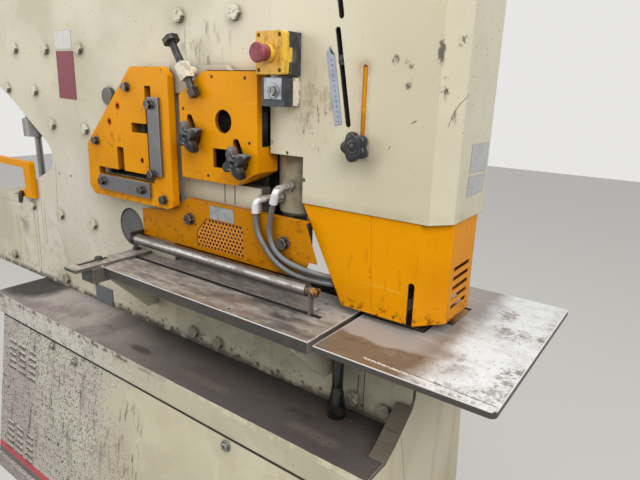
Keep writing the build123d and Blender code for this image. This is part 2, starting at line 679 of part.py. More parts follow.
def estop_cover():
    x0, x1 = ESTOP_X
    z0, z1 = ESTOP_Z
    w = BOX_WALL
    shell = box(x0, x1, ESTOP_FRONT, ESTOP_SPLIT, z0, z1)
    shell = fillet(shell.edges().filter_by(Axis.Y), 5)
    notch, low, high = ESTOP_NOTCH
    shell += box(x0, x1, ESTOP_SPLIT - w, notch, low, high)
    shell -= box(x0 + w, x1 - w, ESTOP_FRONT + w, notch, z0 + w, z1 - w)
    shell += rod_y(*ESTOP_CENTRE, COLLAR_FRONT, ESTOP_FRONT + 15, COLLAR_R)
    shell -= rod_y(*ESTOP_CENTRE, COLLAR_FRONT, COLLAR_FRONT + 10, BUTTON_BODY_R + 0.4)
    shell -= [rod_y(x, z, ESTOP_FRONT, ESTOP_FRONT + 2, 4.5) for x, z in ESTOP_SCREWS]
    return shell - rod_y(*ESTOP_CENTRE, COLLAR_FRONT, ESTOP_FRONT + 15, BUTTON_STEM_R + FIT)


def estop_button():
    """Mushroom on a stem that slides in the cover's bush."""
    x, z = ESTOP_CENTRE
    r = MUSHROOM_R
    half = make_face(Polyline((0, 0), (r - 1.5, 0), (r, 2), (r, 5), (r - 2, 8), (0, 8), close=True))
    button = Pos(x, MUSHROOM_BACK, z) * Rot(90, 0, 0) * revolve(Plane.XZ * half, Axis.Z)
    button += rod_y(x, z, MUSHROOM_BACK, COLLAR_FRONT + 4, BUTTON_BODY_R)
    return button + rod_y(x, z, MUSHROOM_BACK, ESTOP_FRONT + 20, BUTTON_STEM_R)


def key_box():
    """Switch box in two halves with a square bezel round its lock."""
    x0, x1 = KEY_X
    z0, z1 = KEY_Z
    front = box(x0, x1, KEY_FRONT, KEY_SPLIT, z0, z1)
    front = fillet(front.edges().filter_by(Axis.Y), 5)
    shell = front + box(x0 + 2, x1, KEY_SPLIT, -HALF_DEPTH, z0 + 2, z1)
    bx0, bx1, bz0, bz1 = BEZEL
    shell += box(bx0, bx1, KEY_FRONT - 3, KEY_FRONT, bz0, bz1)
    shell += rod_y(*KEY_CENTRE, KEY_FRONT - 7, KEY_FRONT - 3, BARREL_R + 3)
    return shell - rod_y(*KEY_CENTRE, KEY_FRONT - 7, KEY_FRONT + 16, BARREL_R + FIT)


def key():
    """Lock barrel with its key slot and an index dot."""
    x, z = KEY_CENTRE
    barrel = rod_y(x, z, BARREL_FRONT, KEY_FRONT + 14, BARREL_R)
    barrel -= box(x - 1.2, x + 1.2, BARREL_FRONT, BARREL_FRONT + 8, z - 5, z + 5)
    return barrel - rod_y(x, z + 7.5, BARREL_FRONT, BARREL_FRONT + 2, 1.2)


def section_guard():
    """Thick guard plate with the two slots for angles and tees."""
    back = SECTION_FRONT + SECTION_T
    plate = plate_xz(SECTION_OUTLINE, SECTION_FRONT, back)
    cuts = [plate_xz(rect(*r), SECTION_FRONT - 1, back + 1) for r in SLOT_A + SLOT_B]
    cuts += [rod_y(x, z, SECTION_FRONT - 1, back + 1, GUARD_HOLE_R) for x, z in SECTION_HOLES]
    bolts = SECTION_BOLTS + STRIP_BOLTS
    cuts += [rod_y(x, z, SECTION_FRONT - 1, back + 1, GUARD_BOLT_R + HOLE_GAP) for x, z in bolts]
    return plate - cuts


def guide_strips():
    """Bare steel strips beside the slots."""
    front = SECTION_FRONT - STRIP_T
    upright = box(SLOT_A[0][1] - 8, -29, front, SECTION_FRONT, 1124, 1324)
    level = box(-318, -85, front, SECTION_FRONT, 1058, SLOT_B[0][2] - 0.5)
    strips = [upright - rod_y(*STRIP_BOLTS[0], front, SECTION_FRONT, GUARD_BOLT_R + HOLE_GAP),
              level - rod_y(*STRIP_BOLTS[2], front, SECTION_FRONT, GUARD_BOLT_R + HOLE_GAP)]
    strips[0] -= rod_y(*STRIP_BOLTS[1], front, SECTION_FRONT, GUARD_BOLT_R + HOLE_GAP)
    strips[1] -= rod_y(*STRIP_BOLTS[3], front, SECTION_FRONT, GUARD_BOLT_R + HOLE_GAP)
    return strips


def hex_bolt(x, z, seat, end, across_flats):
    """Hexagon bolt along Y with a washer, its washer on seat."""
    washer = rod_y(x, z, seat - 2.5, seat, across_flats * 0.64)
    head = hex_y(x, z, seat - 13, seat - 2.5, across_flats)
    return washer + head + rod_y(x, z, seat - 2.5, end, GUARD_BOLT_R)


def hex_bolts():
    """Bolts, washers and stand-off tubes of the guards and of the side stop."""
    pieces = []
    plate_face = -HALF_DEPTH
    for x, z in SECTION_BOLTS:
        pieces.append(hex_bolt(x, z, SECTION_FRONT, plate_face, SECTION_BOLT_AF))
        tube = rod_y(x, z, SECTION_FRONT + SECTION_T, plate_face, 14)
        pieces.append(tube - rod_y(x, z, SECTION_FRONT, plate_face, GUARD_BOLT_R + HOLE_GAP))
    for x, z in STRIP_BOLTS:
        end = SECTION_FRONT + SECTION_T
        pieces.append(hex_bolt(x, z, SECTION_FRONT - STRIP_T, end, SECTION_BOLT_AF))
    for x, z in FLAT_BOLTS:
        pieces.append(hex_bolt(x, z, FLAT_FRONT, plate_face, FLAT_BOLT_AF))
        tube = rod_y(x, z, FLAT_FRONT + FLAT_T, plate_face, 12)
        pieces.append(tube - rod_y(x, z, FLAT_FRONT, plate_face, GUARD_BOLT_R + HOLE_GAP))
    for x, y in STOP_BOLTS:
        seat = TABLE_TOP + SLIDE_GAP + STOP_T + SLIDE_GAP
        bolt = rod_z(x, y, seat, seat + 2, 12) + hex_z(x, y, seat + 2, seat + 9, 17)
        pieces.append(bolt + rod_z(x, y, SHEAR_SEAT, seat, STOP_BOLT_R))
    return pieces


def slot_ends(slot):
    """Both ends of an inclined slot from its top, with the knob's rest and travel."""
    x, z, to_knob = slot
    run = to_knob + REST_DOWN
    return (x, z), (x + run * sin(SLOT_TILT), z - run * cos(SLOT_TILT))


def knob_axis(slot):
    x, z, to_knob = slot
    return x + to_knob * sin(SLOT_TILT), z - to_knob * cos(SLOT_TILT)


def bar_guard():
    """Deep guard box over the bar shear, open at its back."""
    back = -INNER
    shell = plate_xz(BAR_OUTLINE, BAR_FRONT, back)
    inner = offset(profile(BAR_OUTLINE), -BAR_WALL, kind=Kind.INTERSECTION)
    shell -= extrude(Plane.XZ.offset(-back) * inner, amount=back - BAR_FRONT - BAR_GUARD_T,
                     dir=(0, -1, 0))
    cuts = [rod_y(*ROUND_HOLE[:2], BAR_FRONT - 1, BAR_FRONT + 12, ROUND_HOLE[2]),
            plate_xz(rect(*SQUARE_HOLE), BAR_FRONT - 1, BAR_FRONT + 12)]
    for slot in REST_SLOTS:
        top, low = slot_ends(slot)
        cuts.append(tilted_slot(top, low, REST_SLOT_HALF, BAR_FRONT - 1, BAR_FRONT + 12))
    cuts.append(box(280, 300, -140, -100, 1225, 1345))
    return shell - cuts


def flat_guard():
    """Sheet guard over the flat shear with a folded top edge."""
    back = FLAT_FRONT + FLAT_T
    sheet = plate_xz(FLAT_OUTLINE, FLAT_FRONT, back)
    flange = plate_xz(((33, 1071), (419, 1071), (419, 1068), (34, 1068)), back, -HALF_DEPTH)
    flange += plate_xz(((-49, 1028), (33, 1071), (34, 1068), (-48, 1025)), back, -HALF_DEPTH)
    guard = sheet + flange
    guard -= plate_xz(SCREEN_WINDOW, FLAT_FRONT - 1, back + 1)
    guard -= [rod_y(x, z, FLAT_FRONT - 1, back + 1, GUARD_BOLT_R + HOLE_GAP) for x, z in FLAT_BOLTS]
    return guard


def guard_screen():
    """Perforated sheet behind the window of the flat guard."""
    y0 = FLAT_FRONT + FLAT_T
    m = SCREEN_MARGIN
    outline = ((62 - m, 941), (62 - m, 993), (97, 1028 + m), (230 + m, 1028 + m), (230 + m, 941))
    screen = plate_xz(outline, y0, y0 + SCREEN_T)
    hole = RegularPolygon(SCREEN_HOLE_R, 6)
    holes = []
    for row in range(8):
        z = 953 + SCREEN_PITCH_Z * row
        shift = SCREEN_PITCH_X / 2 * (row % 2)
        for column in range(14):
            x = 68 + shift + SCREEN_PITCH_X * column
            if x < 226 and z - x < 990 - 62 - 6 and z < 1025:
                holes.append(Pos(x, z) * hole)
    tool = extrude(Plane.XZ.offset(-y0 - SCREEN_T - 1) * Sketch(children=holes),
                   amount=SCREEN_T + 2, dir=(0, -1, 0))
    return screen - tool


def screw_point(distance):
    """Point on the clamp screw's axis, a distance from its head."""
    return Vector(SCREW_HEAD[0], SCREW_Y, SCREW_HEAD[1]) + SCREW_DIR * distance


def along_screw(start, end, radius):
    """Cylinder on the clamp screw's axis."""
    base = Plane(origin=screw_point(start), z_dir=SCREW_DIR)
    return extrude(base * Circle(radius), amount=end - start)


def square_on_screw(start, end, side):
    """Square bar on the clamp screw's axis."""
    base = Plane(origin=screw_point(start), x_dir=(0, 1, 0), z_dir=SCREW_DIR)
    return extrude(base * Rectangle(side, side), amount=end - start)


def shear_bracket():
    """Bracket on the front plate with the threaded block of the clamp screw."""
    bracket = plate_xz(((-15, 1336), (28, 1336), (121, 1391), (192, 1391), (180, 1403),
                        (-15, 1403)), BRACKET_FRONT, -HALF_DEPTH)
    start, end, side = SCREW_BLOCK
    block = square_on_screw(start, end, side)
    middle = screw_point((start + end) / 2)
    block += rod_y(middle.X, middle.Z, SCREW_Y + side / 2 - 1, BRACKET_FRONT, side / 2 - 1)
    return bracket + (block - along_screw(start, end, SCREW_R + FIT))


def clamp_screw():
    """Screw with a wide head that has two flats, its tip in the foot."""
    head = along_screw(-3, 9, SCREW_HEAD_R)
    across = square_on_screw(-3, 9, 2 * SCREW_HEAD_R - 4)
    return (head & across) + along_screw(9, SCREW_LENGTH, SCREW_R)


def clamp_foot():
    start = SCREW_LENGTH + 7 - FOOT_LENGTH
    foot = square_on_screw(start, SCREW_LENGTH + 7, FOOT_SIDE)
    return foot - along_screw(start, SCREW_LENGTH + FIT, SCREW_R + FIT)


def cover_disc():
    face = -HALF_DEPTH + DISC_DEPTH
    return rod_y(*DISC, face - DISC_T, face, DISC_R)


def tube_rod():
    """Rod that carries the guard tube, its two end plates and nuts."""
    left = TUBE_X[0] - 21
    right = TUBE_X[1] + 4
    rod = rod_x(TUBE_Y, TUBE_Z, left - 14, right + 24, TUBE_ROD_R - FIT)
    rod += box(left, left + 5, TUBE_Y - 13, -HALF_DEPTH, TUBE_Z - 13, TUBE_Z + 20)
    rod += rod_x(TUBE_Y, TUBE_Z, left + 5, TUBE_X[0] - SLIDE_GAP, 12)
    rod += rod_x(TUBE_Y, TUBE_Z, left - 12, left, 13)
    rod += box(right, right + 6, TUBE_Y - 5, TUBE_Y + 9, TABLE_TOP, TUBE_Z + 6)
    rod += rod_x(TUBE_Y, TUBE_Z, TUBE_X[1] + SLIDE_GAP, right, 11)
    return rod + box(right + 14, right + 24, TUBE_Y - 8, TUBE_Y + 8, TUBE_Z - 9, TUBE_Z + 7)


def guard_tube():
    x0, x1 = TUBE_X
    return rod_x(TUBE_Y, TUBE_Z, x0, x1, TUBE_R) - rod_x(TUBE_Y, TUBE_Z, x0, x1, TUBE_ROD_R)


def l_plate(margin, y0, y1):
    """The L of the section station, larger than the slots by a margin."""
    tall, low = SECTION_WINDOW_TALL, SECTION_WINDOW_LOW
    m = margin
    outline = ((low[0] - m, low[2] - m), (tall[1] + m, tall[2] - m), (tall[1] + m, tall[3] + m),
               (tall[0] - m, tall[3] + m), (tall[0] - m, low[3] + m), (low[0] - m, low[3] + m))
    return plate_xz(outline, y0, y1)


def section_slots(y0, y1, widen):
    w = widen
    return [plate_xz(rect(x0 - w, x1 + w, z0 - w, z1 + w), y0, y1)
            for x0, x1, z0, z1 in SLOT_A + SLOT_B]


def fixed_blades():
    """Blades bolted to the inside of the front plate: section, bar and flat."""
    y0, y1 = -INNER, SHEAR_Y - BLADE_GAP
    section = l_plate(12, y0, y1) - section_slots(y0 - 1, y1 + 1, 2)
    bar = plate_xz(((5, 1112), (BEAM_RIGHT, 1112), (BEAM_RIGHT, 1305), (300, 1305),
                    (300, 1420), (5, 1420)), y0, y1)
    bar -= [rod_y(*ROUND_HOLE[:2], y0 - 1, y1 + 1, ROUND_HOLE[2]),
            plate_xz(rect(*SQUARE_HOLE), y0 - 1, y1 + 1)]
    x0, x1 = FLAT_BLADE_X
    seat = box(x0, x1, y0, y1, SHEAR_SEAT - DIE_BAR_H, SHEAR_SEAT)
    flat = seat + box(x0, x1, y1 - DIE_BAR_T + 1, y1, SHEAR_SEAT, TABLE_TOP)
    return [section, bar, flat]


def beam_flat_edge(x, lift):
    """Height of the flat blade's sloping edge, raised by lift."""
    span = FLAT_BLADE_X[1] - FLAT_BLADE_X[0] - 10
    share = (x - FLAT_BLADE_X[0]) / span
    return FLAT_EDGE_LEFT + lift + (FLAT_EDGE_RIGHT - FLAT_EDGE_LEFT) * share


def rocking_beam():
    """Thick beam that swings on the pivot pin and carries the moving blades."""
    px, pz = PIVOT
    x0, x1 = FLAT_BLADE_X[0], FLAT_BLADE_X[1] - 10
    outline = ((px - 68, pz + 55), (px - 75, pz - 90), (px - 55, 1066, 20), (-200, 1050, 20),
               (x0 - 8, beam_flat_edge(x0 - 8, 12)), (x1 + 8, beam_flat_edge(x1 + 8, 12)),
               (BEAM_RIGHT - 2, 945), (BEAM_RIGHT, ARM_UNDER, 6),
               (ARM_END, ARM_UNDER), (ARM_END, BEAM_TOP), (px + 60, BEAM_TOP, 30))
    beam = plate_xz(outline, -BEAM_HALF, BEAM_HALF)
    cuts = [rod_y(px, pz, -BEAM_HALF - 1, BEAM_HALF + 1, PIVOT_R + FIT)]
    for window in (SECTION_WINDOW_TALL, SECTION_WINDOW_LOW):
        cuts.append(plate_xz(rect(*window), -BEAM_HALF - 1, BEAM_HALF + 1))
    cuts.append(plate_xz(rect(*BAR_EXIT), -BEAM_HALF - 1, BEAM_HALF + 1))
    cuts.append(l_plate(10, -BEAM_HALF - 1, -BEAM_HALF + BLADE_DEPTH - 2))
    m = 10
    bx0, bx1, bz0, bz1 = BAR_EXIT
    cuts.append(box(bx0 - m, bx1 + m, -BEAM_HALF - 1, -BEAM_HALF + BLADE_DEPTH - 2, bz0 - m, bz1 + m))
    cuts.append(flat_knife())
    beam -= cuts
    return beam


def flat_knife():
    """Sloping bar of the flat shear."""
    x0, x1 = FLAT_BLADE_X[0], FLAT_BLADE_X[1] - 10
    return plate_xz(((x0, beam_flat_edge(x0, 0)), (x1, beam_flat_edge(x1, 0)),
                     (x1, beam_flat_edge(x1, FLAT_BLADE_H)), (x0, beam_flat_edge(x0, FLAT_BLADE_H))),
                    SHEAR_Y, SHEAR_Y + FLAT_BLADE_T)


def moving_blades():
    """Blades that ride in the beam: section, bar and flat."""
    y0, y1 = SHEAR_Y, -BEAM_HALF + BLADE_DEPTH - 2
    section = l_plate(10, y0, y1) - section_slots(y0 - 1, y1 + 1, 2)
    bx0, bx1, bz0, bz1 = BAR_EXIT
    m = 10
    bar = box(bx0 - m, bx1 + m, y0, y1, bz0 - m, bz1 + m)
    bar -= [rod_y(*ROUND_HOLE[:2], y0 - 1, y1 + 1, ROUND_HOLE[2]),
            plate_xz(rect(*SQUARE_HOLE), y0 - 1, y1 + 1)]
    return [section, bar, flat_knife()]


def shear_cylinder():
    """Cylinder that pushes the beam's arm down, hung between the plates."""
    low = BEAM_TOP + 60
    flange_z = FRAME_TOP - 80
    body = rod_z(SHEAR_ROD_X, 0, low, FRAME_TOP - 30, SHEAR_CYLINDER_R)
    flange = box(SHEAR_ROD_X - 60, SHEAR_ROD_X + 60, -INNER, INNER, flange_z, flange_z + FLANGE_T)
    return body + flange - rod_z(SHEAR_ROD_X, 0, low, FRAME_TOP - 100, SHEAR_ROD_R + FIT)


def shear_rod():
    """Rod with a domed tip just above the beam's arm."""
    tip = BEAM_TOP + ROD_GAP
    dome = Pos(SHEAR_ROD_X, 0, tip + ROD_TIP_R) * Sphere(ROD_TIP_R)
    below = rod_z(SHEAR_ROD_X, 0, tip, tip + 12, SHEAR_ROD_R) & dome
    return below + rod_z(SHEAR_ROD_X, 0, tip + 12, tip + SHEAR_ROD_LENGTH, SHEAR_ROD_R)


def hold_down_cylinder():
    """Cylinder over the flat shear, its cross plate and its two hose elbows."""
    body = rod_z(HOLD_X, HOLD_Y, HOLD_BOTTOM, HOLD_TOP, HOLD_R)
    body = chamfer(body.edges().group_by(Axis.Z)[0], 8)
    body += box(BOSS_WINDOW[0] + 2, 400, -INNER, INNER, 1212, 1240)
    body -= rod_z(HOLD_X, HOLD_Y, HOLD_BOTTOM - 1, HOLD_TOP - 40, HOLD_ROD_R + FIT)
    for hose, height in ((HOSE_1, 32), (HOSE_2, 34)):
        body += elbow(hose, height)
    return body


def elbow(hose, height):
    """Swept elbow from the cylinder's side to the start of a hose, with its ferrule."""
    end = Vector(hose[0])
    down = (Vector(hose[1]) - end).normalized()
    corner = end - down * height
    centre = Vector(HOLD_X, HOLD_Y, corner.Z)
    start = centre + (corner - centre).normalized() * (HOLD_R - 6)
    path = FilletPolyline(start, corner, end, radius=14)
    neck = sweep(Plane(origin=start, z_dir=path % 0) * Circle(ELBOW_R), path)
    ferrule = extrude(Plane(origin=end, z_dir=-down) * Circle(HOSE_R + 3), amount=height * 0.6)
    nut_at = centre + (corner - centre).normalized() * (HOLD_R + 2)
    nut = extrude(Plane(origin=nut_at, z_dir=corner - centre) * RegularPolygon(14, 6), amount=14)
    return neck + ferrule + nut


def hold_down_rod():
    rod = rod_z(HOLD_X, HOLD_Y, 965, HOLD_TOP - 60, HOLD_ROD_R)
    return rod + rod_z(HOLD_X, HOLD_Y, 960, 985, HOLD_ROD_R + 8)


def hose(route):
    """Hose as straight runs joined by arcs as large as the runs allow."""
    points = [Vector(p) for p in route]
    runs = [(b - a) for a, b in zip(points, points[1:])]
    radii = []
    for before, after in zip(runs, runs[1:]):
        half_turn = radians(before.get_angle(after)) / 2
        radii.append(0.45 * min(before.length, after.length) / tan(half_turn))
    path = FilletPolyline(*points, radius=radii)
    print("hose radii", [round(r) for r in radii], "length", round(path.length))
    tube = sweep(Plane(origin=points[0], z_dir=path % 0) * Circle(HOSE_R), path)
    print("hose volume over section times length", tube.volume / (pi * HOSE_R ** 2 * path.length))
    return tube


def punch_cylinder():
    """Punching cylinder with its flange and the guide block of the ram."""
    low, high = GUIDE_BLOCK_Z
    flange_z = HEAD_TOP - 200
    body = rod_z(RAM_X, 0, high + 90, HEAD_TOP - 100, PUNCH_CYLINDER_R)
    body += box(RAM_X - 60, HEAD_PLATE_END, -INNER, INNER, flange_z, flange_z + FLANGE_T)
    body += box(*GUIDE_BLOCK_X, -INNER, INNER, low, high)
    body += rod_z(RAM_X, 0, high, high + 90, PUNCH_NECK_R)
    for route in (HOSE_1, HOSE_2):
        x, y, z = route[-1]
        body += rod_z(x, y, z, low, HOSE_R + 3)
    return body - rod_z(RAM_X, 0, low, flange_z + FLANGE_T, RAM_R + FIT)


def punch_ram():
    """Ram with the coupling nut that holds the punch."""
    low, high = NUT_Z
    ram = rod_z(RAM_X, 0, low + 35, HEAD_TOP - 240, RAM_R)
    nut = rod_z(RAM_X, 0, low, high, NUT_R)
    nut -= [box(RAM_X + s * NUT_R - 5, RAM_X + s * NUT_R + 5, -8, 8, low, high) for s in (-1, 1)]
    return ram + nut - rod_z(RAM_X, 0, low, low + 35, PUNCH_R + 7.02)


def punch():
    shoulder = NUT_Z[0] + 15
    shank = rod_z(RAM_X, 0, PUNCH_TIP, shoulder, PUNCH_R)
    return shank + rod_z(RAM_X, 0, shoulder, shoulder + 20, PUNCH_R + 7)


def die_bolster():
    """Bolster plate with a tongue, on a seat block between the side plates."""
    x0, x1 = BOLSTER_X
    low = PUNCH_SEAT - 72
    end, y0, y1 = BOLSTER_TONGUE
    bolster = box(SHEAR_TABLE_X[1] + 2, LEDGE_X[1] - 10, -INNER, INNER, low, PUNCH_SEAT)
    bolster += box(x0, x1, -BOLSTER_Y, BOLSTER_Y, PUNCH_SEAT, BOLSTER_TOP)
    bolster += box(x1, end, y0, y1, PUNCH_SEAT, TABLE_TOP - 3)
    return bolster - [rod_z(RAM_X, 0, PUNCH_SEAT, BOLSTER_TOP, DIE_R + 0.02),
                      rod_z(RAM_X, 0, low, PUNCH_SEAT, 22)]


def die():
    ring = rod_z(RAM_X, 0, PUNCH_SEAT, BOLSTER_TOP, DIE_R)
    return ring - rod_z(RAM_X, 0, PUNCH_SEAT, BOLSTER_TOP, PUNCH_R + DIE_GAP)


def stripper():
    """Stripper plate hung from the head on two arms."""
    low, high = STRIPPER_Z
    plate = box(RAM_X - 42, RAM_X + 42, -100, 100, low, high)
    plate -= rod_z(RAM_X, 0, low, high, PUNCH_R + 4)
    for side in (-1, 1):
        y0, y1 = sorted((side * 80, side * 100))
        plate += box(RAM_X - 30, RAM_X + 30, y0, y1, high, THROAT_TOP)
    return plate


def left_cylinder():
    """Cylinder of the left station with the ram's guide."""
    low = LEFT_THROAT_TOP + 6
    flange_z = FRAME_TOP - 160
    body = rod_z(LEFT_RAM_X, 0, low + 84, FRAME_TOP - 60, LEFT_CYLINDER_R)
    body += box(LEFT_RAM_X - 60, LEFT_RAM_X + 60, -INNER, INNER, flange_z, flange_z + FLANGE_T)
    body += box(LEFT_RAM_X - 55, LEFT_RAM_X + 55, -INNER, INNER, low, low + 84)
    return body - rod_z(LEFT_RAM_X, 0, low, flange_z + FLANGE_T, LEFT_RAM_R + FIT)


def left_ram():
    shoulder = LEFT_THROAT_TOP - 180
    ram = rod_z(LEFT_RAM_X, 0, shoulder + 30, FRAME_TOP - 190, LEFT_RAM_R)
    ram += rod_z(LEFT_RAM_X, 0, shoulder, shoulder + 65, LEFT_RAM_R + 12)
    return ram + rod_z(LEFT_RAM_X, 0, LEFT_TIP, shoulder, LEFT_PUNCH_R)


def left_die():
    """Die block of the left station, on the lower jaw."""
    top = LEFT_JAW_Z + LEFT_DIE_H
    low = LEFT_JAW_Z - 60
    block = box(*LEFT_DIE_X, -HALF_DEPTH + 2, HALF_DEPTH - 2, LEFT_JAW_Z, top)
    block += box(LEFT_RAM_X - 60, LEFT_RAM_X + 60, -INNER, INNER, low, LEFT_JAW_Z)
    return block - rod_z(LEFT_RAM_X, 0, low, top, LEFT_PUNCH_R + 1)


def left_fork():
    """Thick bridge-shaped stripper bolted to the front plate over the left die."""
    x0, x1 = LEFT_RAM_X - FORK_HALF, LEFT_RAM_X + FORK_HALF
    low, high = FORK_Z
    leg = FORK_LEG
    under = high - 23
    outline = ((x0, low), (x0, high, 12), (x1, high, 12), (x1, low), (x1 - leg, low),
               (x1 - leg, under, 14), (x0 + leg, under, 14), (x0 + leg, low))
    front = -HALF_DEPTH - FORK_T
    fork = plate_xz(outline, front, -HALF_DEPTH)
    fork += box(x1 - leg - 46, x1 - leg, front, -HALF_DEPTH, low, low + 22)
    return fork + hex_y(x1 - leg - 24, low + 11, front - 10, front, SECTION_BOLT_AF - 1)


def guard_section(inset):
    """Plan outline of the tool guard, a distance inside its outer face."""
    half = HALF_DEPTH - COVER_T - SLIDE_GAP - inset
    end = HEAD_END - COVER_T - 1 - inset
    corner = 683 - inset * 0.5
    turn = -62 + inset * 0.5
    return ((380, -half), (corner, -half), (end, turn), (end, -turn), (corner, half), (380, half))


def tool_guard():
    """Folded guard round the punch with a tongue for its clamping stud."""
    outer = plate_xy(guard_section(0), GUARD_BOTTOM, GUARD_TOP)
    inner = plate_xy(guard_section(GUARD_T), GUARD_BOTTOM - 1, GUARD_TOP + 1)
    guard = outer - inner
    (xa, za), (xb, zb) = GUARD_EDGE
    guard -= plate_xz(((370, zb - 1), (xb, zb - 1), (xb, zb), (xa, za), (xa, GUARD_TOP + 1),
                       (370, GUARD_TOP + 1)), -200, 200)
    front = -HALF_DEPTH + COVER_T + SLIDE_GAP
    guard -= box(667, 681, front - 1, front + GUARD_T + 1, GUARD_BOTTOM - 1, 978)
    guard -= rod_y(674, 978, front - 1, front + GUARD_T + 1, 7)
    for i in range(GUARD_LOUVRES):
        z = GUARD_LOUVRE_Z + GUARD_LOUVRE_PITCH * i
        guard -= box(HEAD_END - 10, HEAD_END + 5, -42, 42, z, z + 9)
    x = GUARD_KNOB[0]
    guard += box(x - TONGUE_HALF, x + TONGUE_HALF, front, front + GUARD_T, GUARD_TOP, TONGUE_TOP)
    return guard + rod_y(*GUARD_KNOB, STUD_FRONT, front, STUD_R)


def bar_rest(slot):
    """Disc behind the bar guard with the stud that the knob clamps."""
    x, z = knob_axis(slot)
    front = BAR_FRONT + BAR_GUARD_T + SLIDE_GAP
    return rod_y(x, z, front, front + 8, REST_R) + rod_y(x, z, BAR_FRONT - 28, front, STUD_R)


def bar_knob(slot):
    x, z = knob_axis(slot)
    return lobed_knob(x, z, BAR_FRONT - SLIDE_GAP, BAR_KNOB)


def guard_knob():
    return lobed_knob(*GUARD_KNOB, -HALF_DEPTH - SLIDE_GAP, GUARD_KNOB_FORM)


def stroke_pointer():
    """Pin that shows the stroke, in its slot, with the disc behind the cover."""
    back = -HALF_DEPTH + COVER_T + SLIDE_GAP
    pin = rod_y(*POINTER, -HALF_DEPTH - 2, back + 1.5, 4)
    return pin + rod_y(*POINTER, back, back + 1.5, POINTER_HALF + 3)


def side_stop():
    """Flat stop bar with two slots, lying on its lugs."""
    x0, x1 = STOP_X
    y0, y1 = STOP_Y
    z0 = TABLE_TOP + SLIDE_GAP
    bar = box(x0, x1, y0, y1, z0, z0 + STOP_T)
    r = STOP_BOLT_R + 0.5
    bx, by = STOP_BOLTS[0]
    bar -= box(bx - r, bx + r, -330, by + STOP_TRAVEL + r, z0 - 1, z0 + STOP_T + 1)
    bx, by = STOP_BOLTS[1]
    bar -= box(bx - r, bx + r, by - r, y1 + 1, z0 - 1, z0 + STOP_T + 1)
    return bar


def chute():
    """Flared tube from the table down to the ledge."""
    flare = Polyline((21, LEDGE_TOP), (21, LEDGE_TOP + 20), (12.5, LEDGE_TOP + 75),
                     (12.5, SHEAR_SEAT), (10, SHEAR_SEAT), (10, LEDGE_TOP + 74),
                     (18.5, LEDGE_TOP + 19), (18.5, LEDGE_TOP), close=True)
    ring = revolve(Plane.XZ * make_face(flare), Axis.Z)
    return Pos(534, -160, 0) * ring


def oil_tank():
    """Hydraulic tank with its filler and valve block, on the middle cross member."""
    x0, x1 = TANK_X
    y0, y1 = TANK_Y
    w = TANK_WALL
    top = TANK_TOP
    tank = box(x0, x1, y0, y1, RAIL_H, top)
    tank -= box(x0 + w, x1 - w, y0 + w, y1 - w, RAIL_H + w, top - w)
    tank += box(x0 + 230, x0 + 390, y0 + 25, y1 - 30, top, top + 70)
    return tank + rod_z(x1 - 100, MOTOR_Y, top, top + 30, 30)


def pump_motor():
    """Electric motor on its foot with the pump on its shaft end."""
    x0, x1 = MOTOR_X
    unit = rod_x(MOTOR_Y, SHAFT_Z, x0, x1, MOTOR_R)
    unit += box(x0 + 25, x1 - 40, MOTOR_Y - 60, MOTOR_Y + 60, RAIL_H, SHAFT_Z - MOTOR_R + 10)
    unit += rod_x(MOTOR_Y, SHAFT_Z, x1, PUMP_END, PUMP_R)
    return unit + rod_x(MOTOR_Y, SHAFT_Z, PUMP_END, TANK_X[0], SHAFT_R)


NODES = {
    "front_plate": front_plate, "rear_plate": rear_plate, "tie_bolts": tie_bolts,
    "pivot_pin": pivot_pin, "base_frame": base_frame, "ledge_trays": ledge_trays,
    "front_panel": front_panel, "rear_panel": rear_panel, "right_cheek": right_cheek,
    "shear_table": shear_table, "punch_table": punch_table, "head_cover": head_cover,
    "top_cover": top_cover, "estop_base": estop_base, "estop_cover": estop_cover,
    "key_box": key_box, "section_guard": section_guard, "guide_strips": guide_strips,
    "hex_bolts": hex_bolts, "bar_guard": bar_guard, "flat_guard": flat_guard,
    "guard_screen": guard_screen, "shear_bracket": shear_bracket, "cover_disc": cover_disc,
    "tube_rod": tube_rod, "fixed_blades": fixed_blades, "punch_cylinder": punch_cylinder,
    "die_bolster": die_bolster, "die": die, "stripper": stripper,
    "left_cylinder": left_cylinder, "left_die": left_die, "left_fork": left_fork,
    "shear_cylinder": shear_cylinder, "hold_down_cylinder": hold_down_cylinder,
    "hose_1": lambda: hose(HOSE_1), "hose_2": lambda: hose(HOSE_2), "chute": chute,
    "oil_tank": oil_tank, "pump_motor": pump_motor,
    "punch_ram": punch_ram, "punch": punch, "left_ram": left_ram,
    "rocking_beam": rocking_beam, "moving_blades": moving_blades, "shear_rod": shear_rod,
    "tool_guard": tool_guard, "guard_knob": guard_knob,
    "bar_rest_1": lambda: bar_rest(REST_SLOTS[0]), "bar_knob_1": lambda: bar_knob(REST_SLOTS[0]),
    "bar_rest_2": lambda: bar_rest(REST_SLOTS[1]), "bar_knob_2": lambda: bar_knob(REST_SLOTS[1]),
    "estop_button": estop_button, "key": key, "side_stop": side_stop,
    "guard_tube": guard_tube, "hold_down_rod": hold_down_rod, "clamp_screw": clamp_screw,
    "clamp_foot": clamp_foot, "stroke_pointer": stroke_pointer,
}

os.makedirs("parts", exist_ok=True)
for name, make in NODES.items():
    made = make()
    shape = Compound(children=made) if isinstance(made, list) else made
    export_step(shape, f"parts/{name}.step")
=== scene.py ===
from math import cos, pi, radians, sin
import bmesh
import bpy
from mathutils import Matrix, Vector


